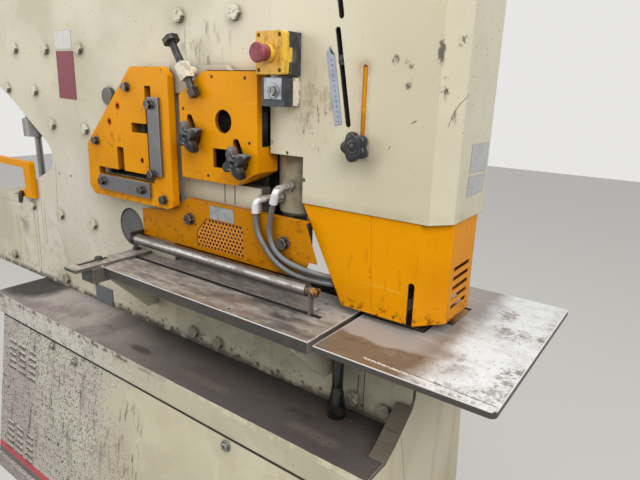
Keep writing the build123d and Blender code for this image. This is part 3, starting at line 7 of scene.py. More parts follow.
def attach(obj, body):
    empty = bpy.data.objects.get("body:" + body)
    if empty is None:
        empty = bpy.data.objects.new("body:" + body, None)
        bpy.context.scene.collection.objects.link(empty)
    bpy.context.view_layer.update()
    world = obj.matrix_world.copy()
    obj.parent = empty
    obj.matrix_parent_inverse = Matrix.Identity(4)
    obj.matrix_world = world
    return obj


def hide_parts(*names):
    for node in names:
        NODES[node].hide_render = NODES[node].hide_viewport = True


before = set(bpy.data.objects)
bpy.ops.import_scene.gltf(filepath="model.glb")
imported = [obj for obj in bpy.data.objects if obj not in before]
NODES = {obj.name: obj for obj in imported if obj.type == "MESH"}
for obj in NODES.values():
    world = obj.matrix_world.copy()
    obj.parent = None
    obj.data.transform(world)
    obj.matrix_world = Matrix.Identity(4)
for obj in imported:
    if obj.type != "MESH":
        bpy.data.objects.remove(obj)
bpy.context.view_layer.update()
MM = 0.001

# Camera, found from the machine's long parallel edges in the photograph
CAMERA_AT = (1.100, -1.03356, 1.360)
CAMERA_RIGHT = (0.80827, 0.58821, 0.02657)
CAMERA_DOWN = (0.18505, -0.21093, -0.95983)
CAMERA_FORWARD = (-0.55898, 0.78071, -0.27933)
FOCAL_PX = 525.6
FRAME_W_PX = 640
SENSOR_MM = 36
NEAR_CLIP = 0.05

# Hose routes, in metres, the same points as the solids follow
HOSE_DIAMETER = 0.013
HOSE_1 = ((0.280, -0.150, 1.073), (0.281, -0.151, 1.035), (0.307, -0.152, 1.000),
          (0.340, -0.152, 0.969), (0.386, -0.152, 0.949), (0.432, -0.138, 0.940),
          (0.474, -0.103, 0.928), (0.512, -0.074, 0.929), (0.544, -0.062, 0.962),
          (0.553, -0.060, 1.012), (0.553, -0.060, 1.105))
HOSE_2 = ((0.334, -0.150, 1.103), (0.326, -0.151, 1.068), (0.323, -0.152, 1.034),
          (0.334, -0.1525, 1.001), (0.364, -0.152, 0.978), (0.410, -0.151, 0.967),
          (0.457, -0.141, 0.960), (0.474, -0.105, 0.945), (0.500, -0.076, 0.954),
          (0.519, -0.063, 0.988), (0.525, -0.060, 1.030), (0.525, -0.060, 1.105))

# Node, route and full length in metres of each hose
HOSES = (("hose_1", HOSE_1, 0.515), ("hose_2", HOSE_2, 0.471))

# Faces that pieces and marks lie on, in mm
PLATE_FACE = -121
HEAD_FACE = -124
SECTION_FACE = -165
STRIP_FACE = -173
BAR_FACE = -155
FLAT_FACE = -141
HEAD_END = 735
TABLE_TOP = 875
LEDGE_TOP = 643

# Reach in depth of a spot on a face, in mm
SPOT_DEPTH = 60

# Samples of the nodes that find edges and corners
SHADE_SAMPLES = 4

# Louvres of the front panel, in mm
LOUVRE_X = (-723, -660, -592)
LOUVRE_TOPS = (488, 192)
LOUVRE_PITCH = 22.5
LOUVRE_W = 40

# Stripes at the foot of the front panel and the dark joint above it: heights in mm
RED_STRIPE = (76, 98)
GREY_STRIPE = (57, 76)
PANEL_JOINT = (565.5, 569)

# Where the stripes fade out along x, in metres
STRIPE_END = (-0.42, -0.44)

# Round pieces: x and z of the axis in mm
BAR_KNOBS = {"bar_knob_1": (87.9, 1235.95), "bar_knob_2": (244.87, 1188.6)}
GUARD_KNOB = (543, 1248)
GUARD_SLOT_LOW = (543, 1225)
GUARD_SLOT_TOP = (543, 1398)
COVER_DISC = (-252, 940)
STOP_BUTTON = (351, 1423)
FORK_BOLT = (-871, 961)
PRIMED_HOLES = ((-212, 1296), (-256, 1252))
PLAIN_HOLE = (-118, 1157)
HEAD_HOLE = (398.2, 1162.1)
HEAD_PLUG = (304.2, 1237.5)
STOP_SCREWS = ((322.5, 1390), (322.5, 1458), (378, 1390), (378, 1458))
BAR_SCREWS = ((150.9, 1376.7), (255.9, 1374.9), (46.8, 1300.7), (267.9, 1234.1), (129.2, 1144.8))

# Bolts of the front panel: x, z and the face they sit on, in mm
PANEL_BOLTS = ((323.2, 547.2, -303.7), (-449.9, 551.3, -303.1), (-322, 540.5, -304.8))

# Marks on the front plate: lines of (x, z) points in mm
PLATE_CRACK = ((-658, 1085), (-689, 859), (-674, 826), (-637, 742))
PLATE_DRIPS = (((-851, 899), (-859, 693)), ((-826, 903), (-843, 684)), ((-789, 939), (-797, 777)),
               ((-767, 942), (-778, 781)), ((-993, 857), (-972, 769)), ((-952, 773), (-936, 683)))
PLATE_SEAMS = (((150.5, 1122), (150, 1075)), ((185.3, 1122), (184.5, 1075)),
               ((565, 740), (561, 645)))

# Crack down the right cheek: (x, y, z) points in mm
CHEEK_CRACK = ((711, -196, 752), (711, -142, 545), (711, -120, 380))

# Dirt on the head: (x, y, z), half width and half height in mm
HEAD_MARKS = ((723, -94, 1445, 13, 14), (708, -112, 1368, 13, 20), (701, -120, 1338, 12, 30),
              (722, -95, 1318, 13, 22), (608, -124, 1412, 10, 13), (637, -124, 1405, 14, 14),
              (636, -124, 1372, 12, 18), (697, -121, 1430, 9, 40))

# Scars on the head: (x, z) points and width in mm
HEAD_SCARS = ((((650, 1299), (659, 1305)), 2.2), (((604, 1246), (608, 1254)), 1.6))

# Smear down the head's bevel in mm, and the way the bevel looks
HEAD_ARC = ((740, -73, 1356), (727, -88.5, 1337), (718, -99, 1315), (715, -103, 1296))
HEAD_BEVEL = (-0.77, 0.64, 0)

# Stains on the ledge: x and y and their half sizes in mm
LEDGE_STAINS = ((-70, -246, 66, 18), (466, -208, 52, 16), (-250, -215, 30, 12))

# Scale beside the pointer's slot: outline, zero mark and ends of its row of dots, in mm
RULE = ((451, 1428), (458, 1440), (471, 1420), (494, 1289), (477, 1284))
RULE_ZERO = ((459, 1437), (471, 1422), (461, 1425))
RULE_FIRST = (463.5, 1413)
RULE_LAST = (485.5, 1293)
RULE_DOTS = 13

# Thickness of the scale and its zero mark, and size of a dot, in metres
RULE_THICK = 0.0012
ZERO_THICK = 0.0004
DOT_RADIUS = 0.0015
DOT_RISE = 0.0002

# Sides of round pieces
ROUND_STEPS = 32
SMALL_STEPS = 16
DOT_STEPS = 10
KNOB_STEPS = 80

# Knob forms in metres: lobes, hub and tip radius, narrowness, first lobe, rear hub, tips' sweep
BAR_KNOB_FORM = (4, 0.0180, 0.0410, 1.05, radians(27), 0.0200, 0.006)
GUARD_KNOB_FORM = (5, 0.0240, 0.0310, 0.80, radians(40), 0.0160, 0)

# Rings of a knob's grip: share of the lobes' radius and depth in metres
GRIP_PROFILE = ((0.55, 0), (0.55, 0.010), (0.80, 0.0125), (0.97, 0.0145), (1, 0.018),
                (1, 0.029), (0.97, 0.0325), (0.90, 0.0348), (0.76, 0.0358), (0.60, 0.0354))

# Shares at which the lobes begin and are full
LOBES_FROM = 0.5
LOBES_FULL = 0.9

# Turned rings in a knob's middle: radius and depth in metres
BAR_CENTRE = ((0.0088, 0.0350), (0.0080, 0.0360), (0.0066, 0.0360), (0.0058, 0.0350), (0.0056, 0.0280))
GUARD_CENTRE = ((0.0125, 0.0355), (0.0118, 0.0360), (0.0106, 0.0360), (0.0100, 0.0345),
                (0.0080, 0.0345), (0.0070, 0.0352))

# Gap between a knob and its face, in mm
KNOB_GAP = 0.3

# Profiles of small heads: radius and height of each ring, in metres
SCREW_HEAD = ((0.0036, 0), (0.0036, 0.0007), (0.0028, 0.0014), (0.0012, 0.0017))
WASHERED_HEAD = ((0.0145, -0.001), (0.0145, 0.0018), (0.0135, 0.0026), (0.0100, 0.0026),
                 (0.0095, 0.0075), (0.0080, 0.0088), (0.0050, 0.0088), (0.0042, 0.0060))

# Bevel of the sign plates, in metres
SIGN_BEVEL = 0.0004

# Lamps: place, aim, size and power
LAMPS = (("key", (2.9, -2, 3.2), (0, 0, 1), 2.4, 112),
         ("sky", (0, -0.6, 4.6), (0, 0, 0.8), 3.6, 118),
         ("fill", (-2.4, -2.8, 2.2), (-0.3, 0, 1), 2.4, 44))

# Strength of the world on the object, of the world as seen, and of the floor's glow as seen
WORLD_LIGHT = 0.27
WORLD_SEEN = 0.80
FLOOR_GLOW = 0.30

# Floor, in metres
FLOOR_HALF = 9
FLOOR_TOP = -0.0005

# Colours as seen on a screen
CREAM = (210, 203, 180)
CREAM_SHADE = (190, 183, 158)
DUST = (150, 140, 130)
GRIME = (64, 56, 50)
SOOT = (26, 24, 23)
YELLOW = (229, 152, 0)
YELLOW_DEEP = (212, 138, 0)
STEEL = (150, 148, 145)
STEEL_DARK = (88, 86, 84)
BROWN_FILM = (150, 134, 118)
PALE_CREAM = (206, 200, 174)


def linear(color):
    """Linear colour from red, green and blue of 0 to 255 as seen on a screen."""
    shares = [value / 255 for value in color]
    return (*[v / 12.92 if v <= 0.04045 else ((v + 0.055) / 1.055) ** 2.4 for v in shares], 1)


def set_input(tree, socket, value):
    if isinstance(value, bpy.types.NodeSocket):
        tree.links.new(value, socket)
    else:
        socket.default_value = value


class Surface:
    """One material, built up in layers: each layer is a mask with a colour and a roughness.

    Colours are red, green and blue from 0 to 255 as seen on a screen. Noise scales are per metre.
    x, y and z are in metres; patch, spot, block, band, lines and disc take mm."""

    def __init__(self, name, color, rough, metal=0):
        self.material = bpy.data.materials.new(name)
        self.material.use_nodes = True
        self.tree = self.material.node_tree
        self.tree.nodes.clear()
        self.shader = self.new("BsdfPrincipled")
        out = self.new("OutputMaterial")
        self.tree.links.new(self.shader.outputs["BSDF"], out.inputs["Surface"])
        self.place = self.new("TexCoord").outputs["Object"]
        self.x, self.y, self.z = self.new("SeparateXYZ", Vector=self.place).outputs
        self.color = linear(color)
        self.rough = rough
        self.metal = metal
        self.height = None

    def shine(self, level):
        self.shader.inputs["Specular IOR Level"].default_value = level

    def new(self, kind, **inputs):
        node = self.tree.nodes.new("ShaderNode" + kind)
        for name, value in inputs.items():
            set_input(self.tree, node.inputs[name.replace("_", " ")], value)
        return node

    def operate(self, kind, operation, a, b):
        node = self.new(kind)
        node.operation = operation
        set_input(self.tree, node.inputs[0], a)
        set_input(self.tree, node.inputs[1], b)
        return node

    def math(self, operation, a, b=0):
        return self.operate("Math", operation, a, b).outputs[0]

    def vector(self, operation, a, b=(0, 0, 0)):
        node = self.operate("VectorMath", operation, a, b)
        return node.outputs["Value" if operation in ("DOT_PRODUCT", "LENGTH", "DISTANCE") else "Vector"]

    def joined(self, operation, masks):
        result = masks[0]
        for mask in masks[1:]:
            result = self.math(operation, result, mask)
        return result

    def both(self, *masks):
        return self.joined("MULTIPLY", masks)

    def either(self, *masks):
        return self.joined("MAXIMUM", masks)

    def outside(self, mask):
        return self.math("SUBTRACT", 1, mask)

    def share(self, mask, amount):
        return self.math("MULTIPLY", mask, amount)

    def ramp(self, value, low, high, to_low=0, to_high=1):
        """Smooth step of value from low to high."""
        node = self.new("MapRange", Value=value, From_Min=low, From_Max=high,
                        To_Min=to_low, To_Max=to_high)
        node.interpolation_type = "SMOOTHSTEP"
        return node.outputs["Result"]

    def fall(self, value, low, high):
        """Smooth step down: 1 up to low and 0 from high."""
        return self.ramp(value, low, high, 1, 0)

    def moved(self, stretch=(1, 1, 1), shift=(0, 0, 0), turn=(0, 0, 0)):
        node = self.new("Mapping", Vector=self.place, Scale=stretch, Location=shift, Rotation=turn)
        return node.outputs["Vector"]

    def noise(self, scale, detail=4, rough=0.55, distortion=0, **placing):
        node = self.new("TexNoise", Vector=self.moved(**placing), Scale=scale, Detail=detail,
                        Roughness=rough, Distortion=distortion)
        return node.outputs["Fac"]

    def blotches(self, scale, low, high, *grain, **options):
        """Noise turned into patches: 0 below low and 1 above high."""
        return self.ramp(self.noise(scale, *grain, **options), low, high)

    def specks(self, per_metre, size, share, **placing):
        """Small separate dots: size and share are parts of a cell and of all cells."""
        node = self.new("TexVoronoi", Vector=self.moved(**placing), Scale=per_metre)
        pick = self.new("SeparateColor", Color=node.outputs["Color"])
        reach = self.math("MULTIPLY", pick.outputs[1], size)
        gap = self.math("SUBTRACT", node.outputs["Distance"], reach)
        return self.both(self.fall(pick.outputs[0], share, share + 0.01), self.fall(gap, 0, 0.05))

    def patch(self, centre, radii, soft=0.5):
        """Blurred ellipsoid round a point, in mm: 1 inside, 0 outside."""
        shift = self.vector("SUBTRACT", self.place, Vector(centre) * MM)
        scaled = self.vector("DIVIDE", shift, Vector(radii) * MM)
        return self.fall(self.vector("LENGTH", scaled), 1 - soft, 1)

    def spot(self, x, z, width, height, soft):
        """Patch on the face of the front plate; half width and half height in mm."""
        return self.patch((x, PLATE_FACE, z), (width, SPOT_DEPTH, height), soft)

    def block(self, x=None, y=None, z=None, soft=0.7):
        """1 inside the ranges given in mm and 0 outside, with a border that is soft mm wide."""
        masks = []
        for value, limits in ((self.x, x), (self.y, y), (self.z, z)):
            if limits:
                low, high = limits
                masks.append(self.ramp(value, (low - soft) * MM, (low + soft) * MM))
                masks.append(self.ramp(value, (high + soft) * MM, (high - soft) * MM))
        return self.both(*masks)

    def band(self, start, end, width, up=(0, 1, 0)):
        """Straight mark between two points in mm, on a face that looks along up."""
        a, b = (Vector(point) * MM for point in (start, end))
        along = (b - a).normalized()
        across = along.cross(Vector(up))
        shift = self.vector("SUBTRACT", self.place, (a + b) / 2)
        run = self.math("ABSOLUTE", self.vector("DOT_PRODUCT", shift, along))
        off = self.math("ABSOLUTE", self.vector("DOT_PRODUCT", shift, across))
        half = (b - a).length / 2
        return self.both(self.fall(run, half - 0.5 * MM, half + MM),
                         self.fall(off, width * 0.25 * MM, width * 0.75 * MM))

    def chain(self, points, width, **options):
        """Mark along a row of points in mm."""
        return self.either(*[self.band(a, b, width, **options) for a, b in zip(points, points[1:])])

    def lines(self, points, width, depth=PLATE_FACE):
        """Mark along (x, z) points on an upright face at the given depth, in mm."""
        return self.chain([(x, depth, z) for x, z in points], width)

    def from_axis(self, x, z):
        """Distance in metres from an axis along Y through x and z in mm."""
        flat = self.vector("MULTIPLY", self.place, (1, 0, 1))
        return self.vector("DISTANCE", flat, (x * MM, 0, z * MM))

    def disc(self, x, z, radius, soft=0.6):
        """1 inside a radius in mm round an axis along Y."""
        return self.ramp(self.from_axis(x, z), (radius + soft) * MM, (radius - soft) * MM)

    def facing(self, axis, low, high):
        """How much the surface faces along an axis (0 X, 1 Y, 2 Z) of the machine."""
        normal = self.new("NewGeometry").outputs["Normal"]
        return self.ramp(self.new("SeparateXYZ", Vector=normal).outputs[axis], low, high)

    def front(self):
        return self.facing(1, -0.5, -0.9)

    def top(self):
        return self.facing(2, 0.4, 0.8)

    def bevel(self, radius):
        node = self.new("Bevel", Radius=radius)
        node.samples = SHADE_SAMPLES
        return node

    def edges(self, width, low=0.02, high=0.12):
        """Mask of the convex and concave edges, about width wide."""
        flat = self.new("NewGeometry").outputs["Normal"]
        dot = self.vector("DOT_PRODUCT", self.bevel(width).outputs["Normal"], flat)
        return self.fall(dot, 1 - high, 1 - low)

    def corners(self, width):
        """Mask of inner corners, where dirt gathers and shade falls."""
        node = self.new("AmbientOcclusion", Distance=width)
        node.samples = SHADE_SAMPLES
        node.only_local = False
        return self.fall(node.outputs["AO"], 0.35, 0.95)

    def mix(self, mask, a, b):
        node = self.new("Mix")
        node.data_type = "RGBA"
        for index, value in ((0, mask), (6, a), (7, b)):
            set_input(self.tree, node.inputs[index], value)
        return node.outputs[2]

    def mix_value(self, mask, a, b):
        node = self.new("Mix", Factor=mask)
        node.data_type = "FLOAT"
        set_input(self.tree, node.inputs[2], a)
        set_input(self.tree, node.inputs[3], b)
        return node.outputs[0]

    def layer(self, mask, color, rough=None, metal=None):
        self.color = self.mix(mask, self.color, linear(color))
        if rough is not None:
            self.rough = self.mix_value(mask, self.rough, rough)
        if metal is not None:
            self.metal = self.mix_value(mask, self.metal, metal)

    def cover(self, amount, mask, color, rough=None, metal=None):
        """Lays a thin layer of the given strength where the mask, or each mask of a tuple, holds."""
        if isinstance(mask, tuple):
            mask = self.both(*mask)
        self.layer(self.share(mask, amount), color, rough, metal)

    def corner_dirt_and_shade(self, amount, width, color=SOOT, rough=0.8):
        """Dirt and painted shade in the inner corners."""
        self.cover(amount, self.corners(width), color, rough)

    def wear(self, amount, width, *look):
        """Edges that are rubbed bright or dirty."""
        self.cover(amount, self.edges(width), *look)

    def onto_height(self, node):
        """Puts a node that changes the normal after those before it."""
        if self.height is not None:
            set_input(self.tree, node.inputs["Normal"], self.height)
        self.height = node.outputs["Normal"]

    def bumps(self, height, depth):
        """Adds a height map with its depth in metres."""
        self.onto_height(self.new("Bump", Height=height, Strength=1, Distance=depth))

    def done(self, edge_radius=0):
        """Joins everything to the shader; edges are shaded as if they had the given radius."""
        if edge_radius:
            self.onto_height(self.bevel(edge_radius))
        results = {"Base Color": self.color, "Roughness": self.rough, "Metallic": self.metal}
        if self.height is not None:
            results["Normal"] = self.height
        for name, value in results.items():
            set_input(self.tree, self.shader.inputs[name], value)
        return self.material


def enamel(name, base, shade, rough=0.38):
    """Sprayed enamel with a slightly uneven tone and a faint orange peel."""
    s = Surface(name, base, rough)
    s.layer(s.blotches(3, 0.42, 0.66, 5), shade)
    s.rough = s.mix_value(s.noise(18), rough - 0.06, rough + 0.16)
    s.bumps(s.noise(220, 2), 0.00004)
    return s


def add_specks(s, amount=1):
    """Fine dark spatter that covers the whole machine thinly."""
    s.cover(0.8 * amount, s.specks(60, 0.1, 0.22), GRIME, 0.7)
    s.cover(0.6 * amount, s.specks(170, 0.16, 0.12, shift=(3, 1, 2)), GRIME, 0.7)
    s.cover(0.22 * amount, s.blotches(40, 0.6, 0.74, 6, 0.7), DUST, 0.7)


def plate_paint():
    """Cream side plates: light above, spattered and streaked below, with painted shade under the
    tables, in the pointer's slot and inside the throats.
    """
    s = enamel("plate_paint", CREAM, CREAM_SHADE)
    add_specks(s)
    fine = s.blotches(30, 0.38, 0.6, 5, 0.65)
    cloud = s.both(s.spot(-470, 880, 300, 250, 0.9), fine)
    s.cover(0.5, cloud, (190, 174, 172), 0.55)
    s.cover(0.85, (s.specks(150, 0.34, 0.45, shift=(1, 0, 2)), cloud), GRIME, 0.7)
    chalk = s.both(s.spot(-560, 1050, 90, 150, 0.8), fine)
    s.cover(0.5, chalk, (222, 218, 208), 0.6)
    s.cover(0.5, s.spot(-600, 1000, 420, 330, 0.8), (218, 210, 200), 0.5)
    wiped = s.both(s.block(x=(-1000, -650), z=(640, 930), soft=40), fine)
    s.cover(0.45, wiped, (226, 222, 214), 0.6)
    streaks = s.blotches(26, 0.56, 0.72, 5, 0.6, stretch=(1, 1, 0.07))
    s.cover(0.4, (streaks, s.ramp(s.z, 1.15, 0.7)), DUST, 0.7)
    broken = s.blotches(60, 0.3, 0.48, 3)
    s.cover(0.8, (s.lines(PLATE_CRACK, 2.2), broken), GRIME, 0.7)
    for points in PLATE_DRIPS:
        s.cover(0.75, (s.lines(points, 3.2), broken), GRIME, 0.7)
    for points in PLATE_SEAMS:
        s.cover(0.95, s.lines(points, 3.4), SOOT, 0.8)
    stain = s.both(s.spot(-935, 850, 60, 90, 0.8), fine)
    s.cover(0.6, stain, (110, 82, 66), 0.7)
    scuffs = s.blotches(60, 0.52, 0.64, 4, 0.7, stretch=(1, 1, 0.25), turn=(0, 0.7, 0))
    s.cover(0.6, (scuffs, s.spot(90, 1450, 120, 70, 0.6)), GRIME)
    # Painted shade under the tables, with blotchy dirt in it
    shade_below_tables = s.block(x=(-60, 700), y=(-124, -80), z=(600, 866), soft=24)
    s.cover(0.65, shade_below_tables, (128, 122, 102), 0.5)
    s.cover(0.6, (shade_below_tables, s.blotches(14, 0.5, 0.62, 6)), (128, 116, 98), 0.6)
    chipped = s.both(s.specks(75, 0.5, 0.5, shift=(4, 0, 2)), s.ramp(s.z, 0.7, 0.655), s.front())
    s.cover(0.85, chipped, GRIME, 0.7)
    s.cover(0.85, (s.ramp(s.z, 0.668, 0.645), s.blotches(28, 0.35, 0.5)), GRIME, 0.8)
    # Painted shade inside the pointer's slot
    pointer_slot = s.block(x=(440, 522), y=(-118, -80), z=(1268, 1690), soft=1)
    s.layer(pointer_slot, SOOT, 0.9)
    # Painted shade inside the throats
    throat = s.block(x=(-1000, 545), y=(-117, 117), z=(560, 1332), soft=3)
    s.cover(0.88, throat, (52, 44, 38), 0.75)
    s.corner_dirt_and_shade(0.6, 0.03, GRIME)
    s.wear(0.35, 0.0015, DUST)
    return s.done(0.001)


def bolt_paint():
    """Painted tie bolts, chipped to dark steel, with painted shade on their undersides and dirt and
    painted shade under the heads.
    """
    s = enamel("bolt_paint", (214, 208, 188), CREAM_SHADE, 0.36)
    s.cover(0.7, s.blotches(130, 0.54, 0.62, 4), (120, 108, 92), 0.6)
    # Painted shade on the faces that look down
    s.cover(0.85, s.facing(2, -0.1, -0.6), (66, 56, 46), 0.7)
    s.cover(0.7, (s.ramp(s.z, 0.76, 0.7), s.blotches(50, 0.3, 0.5)), (92, 80, 66), 0.6)
    s.corner_dirt_and_shade(0.85, 0.014, GRIME)
    s.wear(0.6, 0.0012, (232, 228, 214), 0.4)
    return s.done(0.001)


def head_paint():
    """Cream cover of the head with brown smears beside the switch boxes, and painted shade on its front
    towards the right and on its end.
    """
    s = enamel("head_paint", (212, 206, 182), (204, 197, 172), 0.34)
    add_specks(s, 0.5)
    front = s.front()
    # Painted shade on the front, growing towards the right
    s.cover(0.55, (front, s.ramp(s.x, 0.4, 0.62)), (190, 180, 150), 0.4)
    smear = s.blotches(34, 0.48, 0.64, 6, 0.72, stretch=(1, 1, 0.55), turn=(0, -0.5, 0))
    where = s.spot(418, 1325, 70, 120, 0.7)
    s.cover(0.65, (smear, where), (140, 104, 76), 0.65)
    s.cover(0.26, s.spot(420, 1335, 100, 190, 0.9), (172, 142, 112))
    marks = s.blotches(70, 0.6, 0.65, 4, stretch=(1.2, 1, 0.35), turn=(0, 0.3, 0))
    s.cover(0.7, (marks, s.spot(430, 1290, 60, 80, 0.5)), (96, 72, 54), 0.7)
    halo = s.ramp(s.from_axis(*GUARD_SLOT_TOP), 0.03, 0.008)
    s.cover(0.4, (halo, front), (176, 150, 116), 0.6)
    beside = s.block(x=(510, 533), y=(-130, -118), z=(1250, 1420), soft=9)
    s.cover(0.3, beside, (186, 152, 116), 0.6)
    s.cover(0.28, s.spot(560, 1215, 40, 45, 0.9), (110, 98, 80))
    s.cover(0.9, s.disc(*HEAD_HOLE, 4.5), SOOT, 0.8)
    s.cover(0.7, s.disc(*HEAD_PLUG, 6), (150, 148, 144), 0.5)
    scars = [s.lines(points, width, HEAD_FACE) for points, width in HEAD_SCARS]
    s.cover(0.9, s.either(*scars), SOOT, 0.7)
    slot = s.lines((GUARD_SLOT_LOW, GUARD_SLOT_TOP), 26, HEAD_FACE)
    ring = s.either(slot, s.disc(*GUARD_SLOT_TOP, 14.5))
    s.cover(0.5, (ring, front, s.blotches(90, 0.34, 0.56)), (176, 146, 124), 0.6)
    strokes = s.blotches(60, 0.5, 0.6, 5, 0.7, stretch=(1, 1, 0.5), turn=(0, 0.6, 0))
    for x, y, z, rx, rz in HEAD_MARKS:
        s.cover(0.85, (strokes, s.patch((x, y, z), (rx, 24, rz), 0.5)), (58, 48, 38), 0.7)
    s.cover(0.75, s.chain(HEAD_ARC, 1.8, up=HEAD_BEVEL), (70, 58, 46), 0.7)
    end = s.facing(0, 0.5, 0.9)
    # Blotchy painted shade on the end face
    s.cover(0.3, (end, s.blotches(11, 0.46, 0.64, 5)), (196, 182, 160))
    s.cover(0.5, (end, s.specks(90, 0.18, 0.15)), GRIME, 0.7)
    low = s.both(s.ramp(s.z, 1.135, 1.115), s.blotches(20, 0.36, 0.58, 5))
    s.cover(0.3, low, (160, 140, 112), 0.6)
    s.corner_dirt_and_shade(0.35, 0.012, GRIME)
    return s.done(0.0012)


def cabinet_colours(s):
    """Dirt shared by the ledge lip and the cabinet: thick spatter at the left, wiped at the right."""
    left = s.ramp(s.math("ADD", s.x, s.share(s.noise(4, 3), 0.5)), 0.36, -0.05)
    cloud = s.blotches(7, 0.34, 0.6, 5, 0.6)
    mauve = s.both(s.ramp(s.x, -0.3, -0.72), s.blotches(5, 0.32, 0.58, shift=(2, 0, 0)))
    s.cover(0.55, left, (196, 192, 184), 0.6)
    s.cover(0.5, (left, cloud), (174, 164, 158), 0.6)
    s.cover(0.55, mauve, (156, 140, 138), 0.65)
    dense = s.both(left, s.blotches(16, 0.3, 0.55))
    s.cover(0.9, (s.specks(120, 0.46, 0.66), dense), (84, 75, 71), 0.7)
    s.cover(0.9, (s.specks(230, 0.6, 0.7, shift=(2, 0, 1)), left), (76, 69, 67), 0.7)
    s.cover(0.85, (s.specks(60, 0.26, 0.32, stretch=(1, 1, 0.6), shift=(5, 0, 3)), left), SOOT, 0.7)
    s.cover(0.7, s.specks(60, 0.12, 0.22, shift=(7, 0, 3)), GRIME, 0.7)
    right = s.outside(left)
    s.cover(0.35, right, (180, 172, 146), 0.5)
    wiped = s.blotches(5, 0.49, 0.52, 3, 0.5, distortion=1.6)
    s.cover(0.22, (wiped, right), (178, 168, 142), 0.5)
    pale = s.blotches(8, 0.58, 0.61, 3, distortion=1.2, shift=(3, 3, 3))
    s.cover(0.18, (pale, right), (222, 217, 192), 0.5)
    return left


def cabinet_paint():
    """Cream front panel with drips, a painted shadow and highlight at each louvre, and a red and a grey
    stripe above the rail.
    """
    s = enamel("cabinet_paint", PALE_CREAM, (192, 186, 160), 0.42)
    left = cabinet_colours(s)
    runs = s.blotches(30, 0.56, 0.68, 4, stretch=(1, 1, 0.09))
    s.cover(0.45, (runs, left), (110, 100, 92), 0.6)
    drips = s.blotches(95, 0.55, 0.61, 4, 0.6, stretch=(1, 1, 0.035))
    fall = s.both(drips, s.patch((-40, -330, 390), (75, 200, 160), 0.5))
    s.cover(0.8, fall, (84, 66, 48), 0.6)
    fall_glow = s.patch((-90, -340, 340), (120, 200, 190), 0.9)
    s.cover(0.22, fall_glow, (150, 126, 96))
    scribed = s.blotches(46, 0.62, 0.66, 2, stretch=(1, 1, 0.06), shift=(9, 0, 0))
    s.cover(0.55, (scribed, left), SOOT, 0.6)
    s.corner_dirt_and_shade(0.6, 0.014, GRIME)
    s.cover(0.95, s.block(z=PANEL_JOINT, soft=0.5), SOOT, 0.9)
    columns = s.either(*[s.block(x=(x - 1, x + LOUVRE_W + 1)) for x in LOUVRE_X])
    for top in LOUVRE_TOPS:
        rows = s.block(z=(top - 4 * LOUVRE_PITCH - 9, top + 11))
        drop = s.math("SUBTRACT", (top + 9) * MM, s.z)
        turn = s.math("FRACT", s.math("DIVIDE", drop, LOUVRE_PITCH * MM))
        # Painted shadow under each louvre hood and painted highlight on its top
        under = s.both(columns, rows, s.ramp(turn, 0.3, 0.38), s.ramp(turn, 0.8, 0.62))
        s.cover(0.85, under, (62, 54, 52), 0.8)
        s.cover(0.25, (columns, rows, s.ramp(turn, 0.3, 0.2)), (206, 200, 188), 0.5)
    striped = s.both(s.front(), s.ramp(s.x, *STRIPE_END))
    s.cover(0.95, (striped, s.block(z=RED_STRIPE)), (186, 54, 62), 0.5)
    s.cover(0.9, (striped, s.block(z=GREY_STRIPE)), (92, 88, 90), 0.5)
    s.cover(0.4, s.ramp(s.z, 0.07, 0.01), DUST)
    return s.done(0.001)


def cheek_paint():
    """Cleaner cream end plate with upright cracks and painted shade on its inner flange."""
    s = enamel("cheek_paint", (212, 203, 176), (200, 190, 160), 0.42)
    add_specks(s, 0.6)
    upper = s.chain(CHEEK_CRACK[:2], 2, up=(1, 0, 0))
    lower = s.chain(CHEEK_CRACK[1:], 1.6, up=(1, 0, 0))
    crack = s.either(upper, lower)
    s.cover(0.8, (crack, s.blotches(50, 0.34, 0.5)), GRIME, 0.7)
    s.cover(0.4, s.blotches(16, 0.54, 0.68, 5, stretch=(1, 1, 0.12)), (178, 160, 130), 0.6)
    # Painted shade on the faces that look left and on the inner flange
    inner = s.either(s.facing(0, -0.5, -0.9), s.block(x=(660, 704.4), z=(560, 880)))
    s.cover(0.88, inner, (52, 42, 35), 0.7)
    s.corner_dirt_and_shade(0.6, 0.012, GRIME)
    s.wear(0.35, 0.0016, DUST)
    return s.done(0.001)


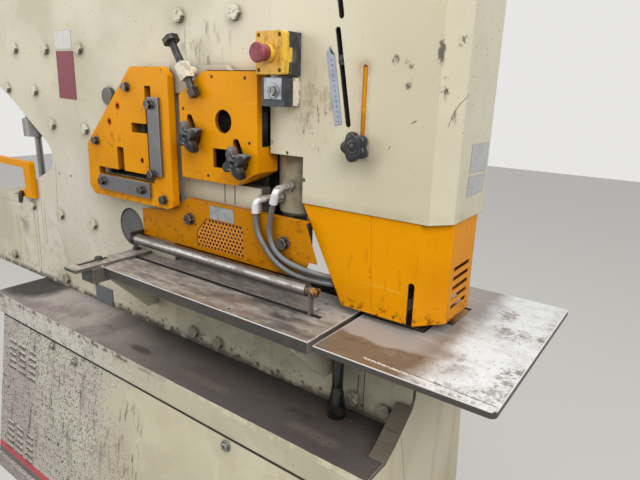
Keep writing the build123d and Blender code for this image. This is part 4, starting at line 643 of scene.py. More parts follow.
def ledge_paint():
    """Ledge trays: grey dust on top, with painted shade under the tables that deepens to the right and
    towards the plate, worn spattered paint on the lip with a broken painted highlight along its top and
    edges.
    """
    s = enamel("ledge_paint", PALE_CREAM, (192, 186, 160), 0.5)
    cabinet_colours(s)
    worn = s.block(y=(-310, -290), z=(628, 660), soft=5)
    chips = s.both(worn, s.blotches(34, 0.5, 0.58, 6, 0.7))
    s.cover(0.9, s.block(z=(570, 572.4), soft=0.5), SOOT, 0.9)
    lip = s.both(s.front(), s.ramp(s.x, 0.1, -0.3))
    s.cover(0.5, (lip, s.blotches(24, 0.36, 0.52, 5)), (226, 222, 212), 0.5)
    # Broken painted highlight along the lip's top
    s.cover(0.8, (s.block(y=(-310, -290), z=(648, 660), soft=1), s.blotches(30, 0.34, 0.46)),
            (222, 216, 200), 0.5)
    s.cover(0.85, (chips, s.ramp(s.x, 0.3, -0.1)), (78, 68, 60), 0.7)
    s.cover(0.6, (chips, s.ramp(s.x, -0.1, 0.3)), (226, 220, 198), 0.5)
    top = s.top()
    s.layer(top, (156, 148, 141), 0.92)
    s.cover(0.8, (top, s.blotches(6, 0.4, 0.66, 6, 0.62)), (108, 98, 94), 0.92)
    # Painted shade under the tables: growing to the right, deeper towards the plate, darkest right
    # below the tables
    s.cover(0.85, (top, s.ramp(s.x, -0.42, 0.1)), (74, 64, 59), 0.85)
    near = s.both(top, s.ramp(s.y, -0.21, -0.13), s.ramp(s.x, -0.5, -0.05))
    s.cover(0.8, near, (42, 36, 33), 0.8)
    s.cover(0.95, (top, s.block(x=(160, 760), z=(600, 660), soft=160)), (26, 21, 18), 0.8)
    s.cover(0.4, (top, s.block(x=(-100, 600), y=(-262, -236), soft=9), s.blotches(12, 0.42, 0.6)),
            (112, 98, 90), 0.8)
    s.cover(0.7, (top, s.specks(80, 0.2, 0.35)), SOOT, 0.9)
    s.cover(0.5, (top, s.specks(140, 0.14, 0.16, shift=(1, 2, 0))), (178, 168, 160))
    ragged = s.blotches(13, 0.36, 0.48, 5, 0.7)
    oil = s.patch((-760, -190, LEDGE_TOP), (150, 120, 40), 0.5)
    s.cover(0.95, (top, oil), (66, 62, 62), 0.5)
    s.cover(0.95, (top, oil, ragged), (30, 30, 33), 0.45)
    for x, y, rx, ry in LEDGE_STAINS:
        s.cover(0.75, (top, s.patch((x, y, LEDGE_TOP), (rx, ry, 20), 0.6), ragged), (46, 36, 32), 0.6)
    s.corner_dirt_and_shade(0.55, 0.035, SOOT, 0.9)
    # Broken painted highlight along the edges
    s.cover(0.75, (s.edges(0.0022), s.blotches(22, 0.34, 0.5)), (226, 220, 200), 0.5)
    s.bumps(s.both(top, s.noise(90, 6, 0.7)), 0.0006)
    return s.done(0.002)


def guard_enamel(name, rough=0.3):
    """Orange-yellow enamel of the guards, scratched, with dark chips along the edges."""
    s = enamel(name, YELLOW, YELLOW_DEEP, rough)
    s.shine(0.1)
    s.cover(0.85, s.specks(50, 0.12, 0.2), SOOT, 0.6)
    s.cover(0.6, s.specks(150, 0.16, 0.12, shift=(2, 2, 2)), GRIME, 0.6)
    marks = s.blotches(45, 0.62, 0.7, 6, 0.75, stretch=(1, 1, 0.6))
    s.cover(0.4, marks, (130, 76, 16), 0.6)
    scratch = s.blotches(80, 0.69, 0.73, 2, stretch=(0.06, 1, 1), turn=(0, 0.6, 0))
    s.cover(0.2, scratch, (240, 186, 80), 0.5)
    chips = s.blotches(70, 0.5, 0.6, 5, 0.7)
    s.cover(0.75, (chips, s.edges(0.0022)), (84, 52, 26), 0.6)
    s.corner_dirt_and_shade(0.5, 0.018, (80, 46, 8), 0.7)
    return s


def section_guard_paint():
    """Section guard: painted shade inside its slots and holes and on its end faces, red primer round
    two holes, dirt low down.
    """
    s = guard_enamel("section_guard_paint")
    for x, z in PRIMED_HOLES:
        s.cover(0.75, s.disc(x, z, 12, 1.6), (206, 84, 34), 0.6)
    # Painted shade inside the slots
    inside = s.block(x=(-345, -58), y=(-163.4, -140), z=(1094, 1358))
    s.cover(0.85, inside, (74, 42, 10), 0.7)
    # Painted shade inside the holes
    for x, z in (*PRIMED_HOLES, PLAIN_HOLE):
        s.cover(0.95, (s.disc(x, z, 7.6), s.ramp(s.y, -0.1645, -0.1635)), SOOT, 0.8)
    low = s.both(s.ramp(s.z, 1.075, 1.045), s.blotches(30, 0.44, 0.62, 6))
    s.cover(0.45, low, (150, 82, 14), 0.5)
    smudge = s.both(s.patch((-240, SECTION_FACE, 1200), (70, 30, 50), 0.8), s.blotches(50, 0.5, 0.64))
    s.cover(0.45, smudge, (120, 70, 20), 0.5)
    # Painted shade on the faces that look right
    s.cover(0.3, s.facing(0, 0.5, 0.9), (196, 120, 4))
    return s.done(0.0014)


def bar_guard_paint():
    """Bar guard: painted shade inside its slots and on its end faces, a few scratches."""
    s = guard_enamel("bar_guard_paint")
    # Painted shade inside the slots
    inside = s.block(x=(42, 284), y=(-153.6, -144), z=(1150, 1345))
    s.cover(0.9, inside, (60, 34, 10), 0.7)
    # Painted shade on the faces that look right
    s.cover(0.35, s.facing(0, 0.5, 0.9), (168, 98, 4))
    s.cover(0.5, (s.ramp(s.z, 1.16, 1.13), s.blotches(40, 0.46, 0.6)), (170, 96, 12), 0.5)
    return s.done(0.0012)


def tool_guard_paint():
    """Tool guard: a welded seam, chips along the bottom, a dark slot edge and painted shade on its end
    faces.
    """
    s = guard_enamel("tool_guard_paint", 0.26)
    s.cover(0.55, s.lines(((570, 1141), (582, 948), (584, 893)), 1.6, -118), (150, 92, 10), 0.5)
    foot = s.both(s.ramp(s.z, 0.925, 0.897), s.blotches(60, 0.52, 0.6, 5, 0.7))
    s.cover(0.85, foot, (84, 44, 16), 0.6)
    scrapes = s.blotches(38, 0.6, 0.65, 4, 0.7, stretch=(1.6, 1, 0.5), turn=(0, -0.7, 0))
    s.cover(0.3, (scrapes, s.ramp(s.z, 1.12, 0.98)), (140, 84, 16), 0.5)
    # Painted shade on the faces that look right
    s.cover(0.3, s.facing(0, 0.6, 0.9), (220, 128, 0))
    s.cover(0.4, (s.ramp(s.z, 1.13, 1.142), s.blotches(20, 0.4, 0.6)), (130, 92, 40), 0.6)
    return s.done(0.0012)


def fork_paint():
    """Left fork with the dark bolt on its foot and painted shade on its undersides."""
    s = guard_enamel("fork_paint")
    s.cover(0.95, (s.disc(*FORK_BOLT, 11.5), s.ramp(s.y, -0.1405, -0.1415)), (44, 43, 43), 0.35, 0.7)
    # Painted shade on the faces that look down
    s.cover(0.6, s.facing(2, -0.3, -0.8), (120, 66, 6), 0.6)
    return s.done(0.0016)


def flat_guard_paint():
    """The flat guard: the same yellow under more oil and dirt near its lower edge."""
    s = enamel("flat_guard_paint", (190, 122, 0), (176, 110, 0), 0.34)
    s.shine(0.1)
    low = s.ramp(s.z, 1.03, 0.945)
    grime = s.blotches(36, 0.5, 0.64, 6, 0.72)
    s.cover(0.6, (grime, low), (124, 66, 12), 0.55)
    s.cover(0.85, s.specks(70, 0.22, 0.35), (70, 36, 12), 0.6)
    s.cover(0.7, (s.specks(160, 0.3, 0.4, shift=(2, 2, 2)), low), (84, 44, 14), 0.6)
    s.cover(0.65, (s.ramp(s.x, 0.24, 0.4), grime), (128, 70, 16), 0.6)
    s.cover(0.5, (s.block(x=(-170, -100), z=(930, 1000), soft=24), grime), (120, 60, 14), 0.6)
    s.corner_dirt_and_shade(0.55, 0.02, (60, 36, 12), 0.7)
    s.cover(0.6, (s.edges(0.0016), s.blotches(60, 0.42, 0.52)), (66, 40, 18), 0.6)
    return s.done(0.001)


def screen_paint():
    """Perforated screen: pale orange with painted shade inside its holes."""
    s = enamel("screen_paint", (212, 140, 52), (198, 126, 44), 0.4)
    s.shine(0.1)
    s.cover(0.7, s.specks(140, 0.2, 0.3), (120, 70, 40), 0.6)
    # Painted shade on the hole walls, all faces that look neither front nor back
    s.cover(0.95, s.outside(s.either(s.facing(1, -0.5, -0.95), s.facing(1, 0.5, 0.95))), SOOT, 0.8)
    s.corner_dirt_and_shade(0.5, 0.006, (110, 60, 26))
    return s.done()


def ground_steel(name, base, rough=0.32):
    """Ground plate with fine lines along X."""
    s = Surface(name, base, rough, 1)
    grain = s.blotches(300, 0.4, 0.65, 2, 0.5, stretch=(0.02, 1, 1))
    s.cover(0.2, grain, STEEL_DARK)
    s.rough = s.mix_value(s.noise(25, 5), rough - 0.05, rough + 0.18)
    return s, s.top()


def add_scratches(s, top, color, amount):
    for turn, seed in ((0.5, 1), (-0.8, 5), (1.4, 9)):
        line = s.blotches(60, 0.7, 0.725, 1, 0.4, stretch=(0.05, 1, 1),
                          turn=(0, 0, turn), shift=(seed, 0, 0))
        s.cover(amount, (top, line), color, 0.4)


def shear_table_steel():
    """Shear table: dusty beside the tube, a brown film in front, a broken painted highlight on the
    arrises and edges, and painted shade in the grooves.
    """
    s, top = ground_steel("shear_table_steel", (186, 178, 170))
    film = s.both(top, s.blotches(6, 0.34, 0.56, 6, 0.62, distortion=0.6))
    s.cover(0.8, film, BROWN_FILM, 0.36, 0.3)
    red = s.both(top, s.patch((330, -245, TABLE_TOP), (170, 50, 30), 0.8), s.blotches(9, 0.38, 0.56))
    s.cover(0.65, red, (130, 88, 70), 0.4, 0.1)
    streaks = s.blotches(26, 0.42, 0.58, 6, 0.7, stretch=(0.3, 1, 1), shift=(4, 4, 0))
    s.cover(0.5, (top, streaks), (206, 200, 194), 0.4, 0.2)
    cool = s.both(top, s.patch((455, -258, TABLE_TOP), (70, 26, 30), 0.8), s.blotches(9, 0.36, 0.5))
    s.cover(0.7, cool, (74, 78, 80), 0.3, 0.4)
    dusty = s.both(top, s.ramp(s.y, -0.184, -0.16), s.blotches(12, 0.24, 0.46, 5))
    s.cover(0.85, dusty, (172, 162, 152), 0.7, 0)
    far = s.both(top, s.ramp(s.x, 0.1, -0.1), s.blotches(10, 0.38, 0.6, stretch=(1, 0.5, 1)))
    s.cover(0.55, far, (176, 168, 160), 0.5, 0.1)
    add_scratches(s, top, (206, 200, 194), 0.45)
    fine = s.blotches(55, 0.42, 0.6, 6, 0.72, stretch=(0.4, 1, 1))
    s.cover(0.5, (top, fine), (98, 87, 78), 0.4)
    for x in (61, 80):
        scored = s.band((x, -275, TABLE_TOP), (x + 8, -225, TABLE_TOP), 2.5, (0, 0, 1))
        s.cover(0.6, (scored, s.blotches(60, 0.36, 0.5)), (220, 216, 210), 0.4)
    s.cover(0.6, (top, s.specks(90, 0.14, 0.25)), SOOT, 0.6)
    front = s.front()
    s.cover(0.95, front, (38, 36, 35), 0.5, 0.1)
    s.cover(0.5, (front, s.blotches(40, 0.46, 0.6, stretch=(0.5, 1, 1))), (74, 67, 60), 0.5)
    # Broken painted highlight along the front and right arrises, and on all edges
    arris = s.either(s.block(y=(-284, -278.6), z=(873.2, 880), soft=0.3),
                     s.block(x=(535.2, 540), z=(872.5, 880), soft=0.3))
    bright = s.both(arris, s.blotches(12, 0.24, 0.36))
    s.cover(0.95, bright, (236, 235, 232), 0.3, 0.3)
    s.cover(0.5, s.edges(0.003, 0.03, 0.2), (190, 186, 180), 0.3, 0.4)
    # Painted shade in the grooves
    grooves = s.block(x=(-200, 491), y=(-177.6, -163.2), z=(860, 874.6), soft=0.2)
    s.layer(grooves, SOOT, 0.9, 0)
    s.layer(s.block(x=(-166, 491), y=(-177, -167), z=(870, 880), soft=0.3), SOOT, 0.8, 0)
    s.corner_dirt_and_shade(0.6, 0.03)
    return s.done(0.0012)


def punch_table_steel():
    """Punch table: brown film with a sharp far edge, silver and scaly towards the outer end, and a
    painted highlight on the top arrises.
    """
    s, top = ground_steel("punch_table_steel", (150, 144, 138))
    border = s.math("ADD", s.y, s.share(s.noise(8, 4), 0.07))
    film = s.both(top, s.ramp(border, -0.146, -0.156))
    s.cover(0.9, film, (118, 104, 88), 0.34, 0.25)
    s.cover(0.5, (film, s.blotches(12, 0.44, 0.6, 6, 0.65)), (142, 128, 112), 0.3)
    s.cover(0.4, (film, s.blotches(40, 0.5, 0.64, 5)), (92, 80, 68), 0.4)
    near = s.both(top, s.ramp(border, -0.16, -0.146), s.ramp(s.x, 0.8, 0.7))
    s.cover(0.85, near, (160, 151, 144), 0.6, 0)
    outer = s.math("ADD", s.x, s.share(s.noise(6, 5, 0.65), 0.16))
    silver = s.both(top, s.ramp(outer, 0.822, 0.885))
    s.cover(0.9, silver, (228, 231, 232), 0.5, 0.15)
    scale = s.blotches(60, 0.46, 0.55, 9, 0.8, distortion=0.3)
    patches = s.blotches(12, 0.42, 0.58, 5, shift=(7, 1, 0))
    s.cover(0.9, (silver, scale, patches), (112, 100, 90), 0.6, 0.1)
    haze = s.blotches(22, 0.44, 0.62, 8, 0.75, shift=(2, 6, 0))
    s.cover(0.45, (silver, haze), (170, 166, 162), 0.5, 0.1)
    s.cover(0.6, (silver, s.specks(150, 0.3, 0.4)), (80, 72, 66), 0.6, 0.1)
    add_scratches(s, top, (206, 202, 196), 0.2)
    for x in (700, 830):
        worn = s.patch((x, -215, TABLE_TOP), (50, 20, 9), 0.6)
        s.cover(0.35, (top, s.blotches(20, 0.45, 0.6), worn), (190, 182, 174), 0.4)
    edge = s.band((655.8, -261.5, TABLE_TOP), (908.8, -271.5, TABLE_TOP), 6.5, (0, 0, 1))
    s.cover(0.8, (edge, s.blotches(260, 0.4, 0.52, 2)), (222, 220, 214), 0.4, 0.2)
    line = s.band((660, -256, TABLE_TOP), (909, -265.5, TABLE_TOP), 1.7, (0, 0, 1))
    s.cover(0.85, line, (56, 50, 46), 0.6)
    s.cover(0.85, s.facing(2, 0.5, 0.1), (58, 55, 53), 0.45, 0.4)
    # Painted highlight along the top arrises
    within = s.block(x=(554.5, 911.3), y=(-283.4, 233.4), soft=0.3)
    rim = s.both(s.ramp(s.z, 0.8728, 0.8735), s.outside(within))
    s.cover(0.9, rim, (234, 233, 230), 0.25, 0.4)
    return s.done(0.001)


def bolster_steel():
    """Die bolster: oily brown steel with a rusty tongue."""
    s = Surface("bolster_steel", (84, 72, 62), 0.4, 0.5)
    s.cover(0.7, s.blotches(22, 0.44, 0.62, 6), (48, 42, 38), 0.5)
    tongue = s.block(x=(697, 740), soft=2)
    s.cover(0.85, (tongue, s.blotches(26, 0.32, 0.54, 5)), (176, 118, 66), 0.6, 0)
    s.corner_dirt_and_shade(0.6, 0.02)
    s.wear(0.6, 0.0014, (170, 160, 150), 0.3)
    return s.done(0.001)


def bare_steel(name, base=STEEL, rough=0.36, dirt=0.5, grain=(1, 1, 0.03)):
    """Machined steel with a light brown-grey film."""
    s = Surface(name, base, rough, 1)
    s.cover(0.25, s.blotches(260, 0.4, 0.65, 2, 0.5, stretch=grain), STEEL_DARK)
    s.rough = s.mix_value(s.noise(30, 4), rough - 0.06, rough + 0.2)
    s.cover(dirt, s.blotches(22, 0.48, 0.66, 6, 0.65), (104, 96, 88), 0.55, 0.4)
    s.cover(0.5, s.specks(120, 0.2, 0.2), SOOT, 0.6)
    s.wear(0.6, 0.001, (200, 198, 196), 0.25)
    s.corner_dirt_and_shade(0.6, 0.01)
    return s.done(0.0008)


def disc_steel():
    """Cover disc: dull grey paint worn in rings, with painted shade towards the rim and a painted
    highlight on its upper edges.
    """
    s = Surface("disc_steel", (98, 99, 102), 0.42, 0.5)
    s.cover(0.5, s.blotches(16, 0.4, 0.62, 5), (76, 77, 80), 0.5)
    # Painted shade towards the rim
    s.cover(0.7, s.ramp(s.from_axis(*COVER_DISC), 0.046, 0.054), (58, 58, 60), 0.5)
    # Painted highlight on the upper edges
    s.cover(0.5, (s.facing(2, -0.2, 0.4), s.edges(0.002)), (170, 170, 172), 0.3)
    s.cover(0.5, s.specks(140, 0.2, 0.2), SOOT, 0.6)
    return s.done(0.001)


def strip_steel():
    """Guide strips: dull grey with wiped marks and bright arrises."""
    s = Surface("strip_steel", (112, 111, 112), 0.42, 0.7)
    s.cover(0.35, s.blotches(14, 0.45, 0.62, 5), (96, 94, 94), 0.5)
    s.cover(0.2, s.blotches(50, 0.56, 0.66, rough=0.7), (140, 138, 136), 0.4)
    s.cover(0.6, s.specks(120, 0.16, 0.2), SOOT, 0.6)
    s.cover(0.9, s.edges(0.0022, 0.03, 0.2), (214, 212, 208), 0.3)
    return s.done(0.0008)


def tube_steel():
    """Guard tube: rolled steel with lengthwise wear, dark patches and painted shade on its underside.
    """
    s = Surface("tube_steel", (146, 142, 138), 0.3, 1)
    s.cover(0.45, s.blotches(120, 0.42, 0.62, 3, stretch=(0.04, 1, 1)), (96, 92, 90))
    s.cover(0.5, s.blotches(30, 0.5, 0.6, 6, 0.7), (108, 96, 88), 0.5, 0.5)
    s.cover(0.35, s.blotches(90, 0.6, 0.66, shift=(3, 3, 3), stretch=(0.3, 1, 1)), (196, 194, 190), 0.3)
    # Painted shade on the faces that look down
    s.cover(0.85, s.facing(2, 0.15, -0.5), (44, 40, 38), 0.5, 0.5)
    return s.done()


def rod_steel():
    """Rod of the guard tube: dark steel, with a dark end block chipped yellow and a dusty post."""
    s = Surface("rod_steel", (76, 72, 70), 0.4, 0.9)
    s.cover(0.5, s.blotches(50, 0.46, 0.62), (110, 100, 92), 0.5)
    post = s.block(x=(455.5, 466), z=(870, 950))
    s.layer(post, (104, 95, 87), 0.5, 0.2)
    block = s.either(s.block(x=(466, 486), y=(-190, -150), z=(915, 945)),
                     s.block(x=(453, 457.4), y=(-186, -158), z=(915, 950)))
    s.layer(block, (52, 44, 34), 0.6, 0)
    s.cover(0.9, (block, s.blotches(60, 0.52, 0.56)), (190, 122, 26), 0.5)
    s.wear(0.6, 0.001, (150, 146, 142), 0.3)
    s.corner_dirt_and_shade(0.6, 0.01)
    return s.done(0.0008)


def bolt_steel():
    """Hexagon bolts: polished grey heads on dark washers."""
    s = Surface("bolt_steel", (98, 94, 91), 0.27, 1)
    s.cover(0.6, s.blotches(90, 0.44, 0.6, 5), (54, 51, 49), 0.4)
    seats = (STRIP_FACE, SECTION_FACE, BAR_FACE, FLAT_FACE)
    washers = s.either(*[s.block(y=(seat - 2.6, seat + 0.2), soft=0.15) for seat in seats])
    s.cover(0.8, washers, (62, 60, 59), 0.4)
    side_stop = s.block(x=(-216, -186), z=(870, 910))
    s.cover(0.85, side_stop, (30, 29, 29), 0.4, 0.5)
    s.wear(0.75, 0.0012, (196, 193, 190), 0.25)
    s.corner_dirt_and_shade(0.5, 0.006)
    return s.done(0.0008)


def black_steel(name, base, rough=0.38):
    """Blackened steel with rubbed edges."""
    s = Surface(name, base, rough, 0.8)
    s.cover(0.4, s.blotches(60, 0.5, 0.65, 5), (98, 92, 86), 0.55)
    s.wear(0.7, 0.0012, (150, 146, 142), 0.3)
    return s.done(0.0008)


def moulded(name, base, rough=0.42, dust=0.35):
    """Moulded plastic with dust on it and on top, dirt and painted shade in its corners, and a fine
    grain.
    """
    s = Surface(name, base, rough)
    s.cover(dust, s.blotches(45, 0.46, 0.66, 5, 0.65), (130, 124, 116), 0.65)
    s.cover(dust, s.facing(2, 0.5, 0.95), (150, 144, 136), 0.75)
    s.corner_dirt_and_shade(0.5, 0.008)
    s.bumps(s.noise(900, 2), 0.00003)
    return s.done(0.0008)


def knob_plastic():
    """Clamping knobs: glossy black face, dusty at the back of the rim, with a painted highlight on the
    bar knobs' tops and painted shade in their centre recesses.
    """
    s = Surface("knob_plastic", (26, 28, 32), 0.3)
    s.cover(0.4, s.blotches(60, 0.44, 0.62, 5), (42, 44, 48), 0.4)
    s.cover(0.5, s.specks(300, 0.2, 0.25), (120, 118, 114), 0.6)
    guard = s.block(x=(500, 590))
    s.cover(0.75, (guard, s.block(y=(-142, -120), soft=1.5), s.blotches(40, 0.2, 0.5)),
            (160, 150, 142), 0.7)
    s.wear(0.25, 0.0016, (128, 128, 130), 0.35)
    # Painted highlight on the tops of the bar knobs
    s.cover(0.4, (s.facing(2, 0.2, 0.8), s.outside(guard)), (150, 148, 146), 0.5)
    # Painted shade in the bar knobs' centre recesses
    for x, z in BAR_KNOBS.values():
        s.cover(0.95, s.disc(x, z, 5.7, 0.3), SOOT, 0.8)
    return s.done()


def key_box_paint():
    """Key switch: dark front shell, dirty cream rear shell, scratched silver bezel and ring."""
    s = Surface("key_box_paint", (44, 48, 54), 0.4)
    s.cover(0.4, s.blotches(40, 0.46, 0.64, 5), (84, 86, 90), 0.55)
    rear = s.ramp(s.y, -0.1452, -0.1448)
    s.layer(rear, (214, 206, 184), 0.5)
    s.cover(0.8, (rear, s.blotches(55, 0.52, 0.6, 5)), (112, 98, 80), 0.7)
    plate = s.either(s.both(s.block(x=(332, 379.5), z=(1333, 1376)), s.ramp(s.y, -0.1742, -0.1745)),
                     s.ramp(s.y, -0.1768, -0.1772))
    s.layer(plate, (120, 124, 130), 0.42, 0.15)
    s.cover(0.85, s.ramp(s.y, -0.1768, -0.1772), (196, 198, 200), 0.3, 0.8)
    s.cover(0.6, (plate, s.blotches(90, 0.52, 0.6, stretch=(1, 1, 0.3))), (88, 94, 104), 0.5)
    s.corner_dirt_and_shade(0.6, 0.006)
    s.wear(0.4, 0.001, (150, 152, 156), 0.3)
    return s.done(0.001)


def switch_yellow():
    """Yellow cover of the stop switch, dirty on its front, with painted shade in its screw recesses."""
    s = enamel("switch_yellow", (236, 190, 66), (212, 162, 48), 0.4)
    s.cover(0.45, s.front(), (196, 140, 44), 0.5)
    s.cover(0.6, s.blotches(60, 0.48, 0.62, 6, 0.7, stretch=(1, 1, 0.4)), (130, 92, 40), 0.6)
    # Painted shade in the screw recesses
    for x, z in STOP_SCREWS:
        s.cover(0.9, s.disc(x, z, 3.4), (40, 30, 20), 0.8)
    s.corner_dirt_and_shade(0.65, 0.006, (60, 42, 20))
    return s.done(0.001)


def switch_red():
    """Mushroom button: faded red with turned rings on its face."""
    s = Surface("switch_red", (146, 62, 72), 0.46)
    s.layer(s.blotches(80, 0.45, 0.62, 5), (124, 50, 60), 0.6)
    s.cover(0.35, s.facing(2, 0.3, 0.9), (190, 120, 122), 0.7)
    ring_pitch = 0.0048
    wave = s.math("SINE", s.share(s.from_axis(*STOP_BUTTON), 2 * pi / ring_pitch))
    ring = s.ramp(wave, 0.2, 0.8)
    face = s.facing(1, -0.6, -0.95)
    s.cover(0.4, (ring, face), (92, 36, 44), 0.6)
    s.bumps(s.both(ring, face), 0.0006)
    s.corner_dirt_and_shade(0.6, 0.008, (50, 16, 20))
    return s.done(0.001)


def bracket_paint():
    """Mauve-grey bracket with the cream threaded block of the clamp screw."""
    s = enamel("bracket_paint", (186, 176, 160), (168, 158, 146), 0.4)
    s.cover(0.4, s.blotches(24, 0.5, 0.65, 5), (206, 198, 184), 0.5)
    block = s.ramp(s.y, -0.1412, -0.1418)
    s.layer(block, (214, 206, 186), 0.38)
    s.cover(0.5, (block, s.blotches(40, 0.52, 0.62, 5)), (132, 118, 98), 0.6)
    s.corner_dirt_and_shade(0.65, 0.015, GRIME)
    s.cover(0.5, (block, s.edges(0.0014)), (110, 98, 82), 0.5)
    return s.done(0.001)


def hose_rubber():
    """Hose cover: grey rubber with a cloth wrap, a painted sheen on top and painted shade underneath.
    """
    s = Surface("hose_rubber", (92, 93, 95), 0.42)
    # Painted sheen on the faces that look up
    s.cover(0.55, s.facing(2, -0.2, 0.7), (128, 128, 128), 0.4)
    # Painted shade on the faces that look down
    s.cover(0.5, s.facing(2, -0.2, -0.9), (48, 46, 45), 0.6)
    s.cover(0.4, s.blotches(50, 0.5, 0.7), (72, 70, 68))
    s.bumps(s.noise(700, 2), 0.0001)
    return s.done()


def hold_down_paint():
    """Hold-down cylinder in grey-green cream, its elbows thick with white dust and with painted shade
    underneath.
    """
    s = enamel("hold_down_paint", (186, 178, 150), (166, 158, 130), 0.45)
    s.cover(0.55, s.blotches(16, 0.44, 0.62, 6), (112, 100, 80), 0.6)
    elbows = s.block(x=(255, 360), y=(-172, -87), z=(1066, 1175))
    s.layer(elbows, (184, 179, 170), 0.8)
    s.cover(0.8, (elbows, s.blotches(90, 0.44, 0.58, 6, 0.7)), (122, 115, 106), 0.85)
    # Painted shade under the elbows
    s.cover(0.5, (elbows, s.facing(2, 0.3, -0.6)), (104, 98, 90), 0.85)
    ferrules = s.either(s.block(x=(266, 296), y=(-168, -130), z=(1068, 1108)),
                        s.block(x=(320, 350), y=(-168, -130), z=(1098, 1138)))
    s.cover(0.8, ferrules, (226, 226, 226), 0.35, 0.3)
    s.corner_dirt_and_shade(0.6, 0.008, (84, 76, 68), 0.9)
    s.bumps(s.both(elbows, s.noise(260, 5, 0.7)), 0.0005)
    return s.done(0.001)


def blank_plate(name, base, marks, rough=0.4, metal=0):
    """A plain sign plate with its own wear and nothing printed on it."""
    s = Surface(name, base, rough, metal)
    s.cover(0.4, s.blotches(40, 0.46, 0.64, 5, 0.65), marks, rough + 0.15)
    s.cover(0.6, s.specks(260, 0.25, 0.3), GRIME, 0.7)
    s.wear(0.5, 0.0008, GRIME)
    return s.done()


def plain_color(name, base, rough=0.5):
    s = Surface(name, base, rough)
    s.cover(0.3, s.noise(80, 4), (110, 104, 98), 0.7)
    return s.done()


def add_object(name, data):
    added = bpy.data.objects.new(name, data)
    bpy.context.scene.collection.objects.link(added)
    return added


def new_piece(name, mesh, material, slot, body="frame", smooth=False):
    piece = add_object(name, mesh)
    mesh.materials.append(material)
    if smooth:
        mesh.polygons.foreach_set("use_smooth", [True] * len(mesh.polygons))
    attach(piece, body)
    return piece


def mesh_of(name, verts, faces, bevel=0):
    """Mesh with its faces turned outwards and all edges bevelled by so many metres."""
    mesh = bpy.data.meshes.new(name)
    mesh.from_pydata(verts, [], faces)
    bm = bmesh.new()
    bm.from_mesh(mesh)
    bmesh.ops.recalc_face_normals(bm, faces=bm.faces)
    if bevel:
        bmesh.ops.bevel(bm, geom=bm.edges[:], offset=bevel, segments=2, affect="EDGES")
    bm.to_mesh(mesh)
    bm.free()
    return mesh


def flat_piece(name, outline, thickness, place, material, slot, bevel=0):
    """Thin plate: outline points are (a, b) and place(a, b, depth) gives the point on the machine."""
    count = len(outline)
    verts = [place(a, b, depth) for depth in (0, thickness) for a, b in outline]
    faces = [tuple(range(count)), tuple(range(2 * count - 1, count - 1, -1))]
    for i in range(count):
        j = (i + 1) % count
        faces.append((i, j, j + count, i + count))
    new_piece(name, mesh_of(name, verts, faces, bevel), material, slot)


def on_front(face):
    """Places plate points in mm on a face that looks towards the operator."""
    return lambda x, z, depth: (x * MM, face * MM - depth, z * MM)


def on_end(face):
    """Places plate points in mm on the head's end face."""
    return lambda y, z, depth: (face * MM + depth, y * MM, z * MM)


def ring_mesh(name, rings, x, z, face):
    """Closed form round an axis along Y from rings of (x, y, z) points, in metres round the axis."""
    steps = len(rings[0])
    verts = [(px + x * MM, py + face * MM, pz + z * MM) for ring in rings for px, py, pz in ring]
    last = len(verts) - steps
    faces = []
    for low in range(0, last, steps):
        high = low + steps
        for i in range(steps):
            j = (i + 1) % steps
            faces.append((low + i, low + j, high + j, high + i))
    faces += [tuple(range(steps)), tuple(range(last, len(verts)))]
    return mesh_of(name, verts, faces)


def circle(radius, depth, steps):
    """Ring of points round Y, depth in front of the face; sizes in metres."""
    turns = [2 * pi * i / steps for i in range(steps)]
    return [(radius * cos(t), -depth, radius * sin(t)) for t in turns]


def make_camera():
    data = bpy.data.cameras.new("camera")
    data.sensor_width = SENSOR_MM
    data.lens = FOCAL_PX / FRAME_W_PX * SENSOR_MM
    data.clip_start = NEAR_CLIP
    camera = add_object("camera", data)
    right, down, forward = (Vector(v) for v in (CAMERA_RIGHT, CAMERA_DOWN, CAMERA_FORWARD))
    turn = Matrix((right, -down, -forward)).transposed().to_4x4()
    camera.matrix_world = Matrix.Translation(CAMERA_AT) @ turn
    bpy.context.scene.camera = camera


def hose_piece(node, route, material):
    name = node + "_tube"
    curve = bpy.data.curves.new(name, "CURVE")
    curve.dimensions = "3D"
    curve.bevel_depth = HOSE_DIAMETER / 2
    curve.bevel_resolution = 6
    curve.use_fill_caps = True
    curve.resolution_u = 16
    spline = curve.splines.new("NURBS")
    spline.points.add(len(route) - 1)
    for point, place in zip(spline.points, route):
        point.co = (*place, 1)
    spline.order_u = 3
    spline.use_endpoint_u = True
    piece = add_object(name, curve)
    curve.materials.append(material)
    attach(piece, "frame")
    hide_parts(node)


def knob_piece(node, place, rear, form, centre, material):
    """Lobed knob: hub, lobes with rounded edges, and turned rings in the middle."""
    lobes, hub, tip, power, first, rear_hub, sweep = form
    rings = []
    for share, depth in GRIP_PROFILE:
        lobed = min(1, max(0, (share - LOBES_FROM) / (LOBES_FULL - LOBES_FROM)))
        ring = []
        for i in range(KNOB_STEPS):
            angle = 2 * pi * i / KNOB_STEPS
            star = hub + (tip - hub) * (0.5 + 0.5 * cos(lobes * (angle - first))) ** power
            r = star * share * lobed + rear_hub * (1 - lobed)
            back = sweep * lobed * (max(0, r - hub) / (tip - hub)) ** 2
            ring.append((r * cos(angle), back - depth, r * sin(angle)))
        rings.append(ring)
    rings += [circle(r, depth, KNOB_STEPS) for r, depth in centre]
    name = node + "_grip"
    mesh = ring_mesh(name, rings, *place, rear)
    piece = new_piece(name, mesh, material, "black_plastic", node, smooth=True)
    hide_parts(node)


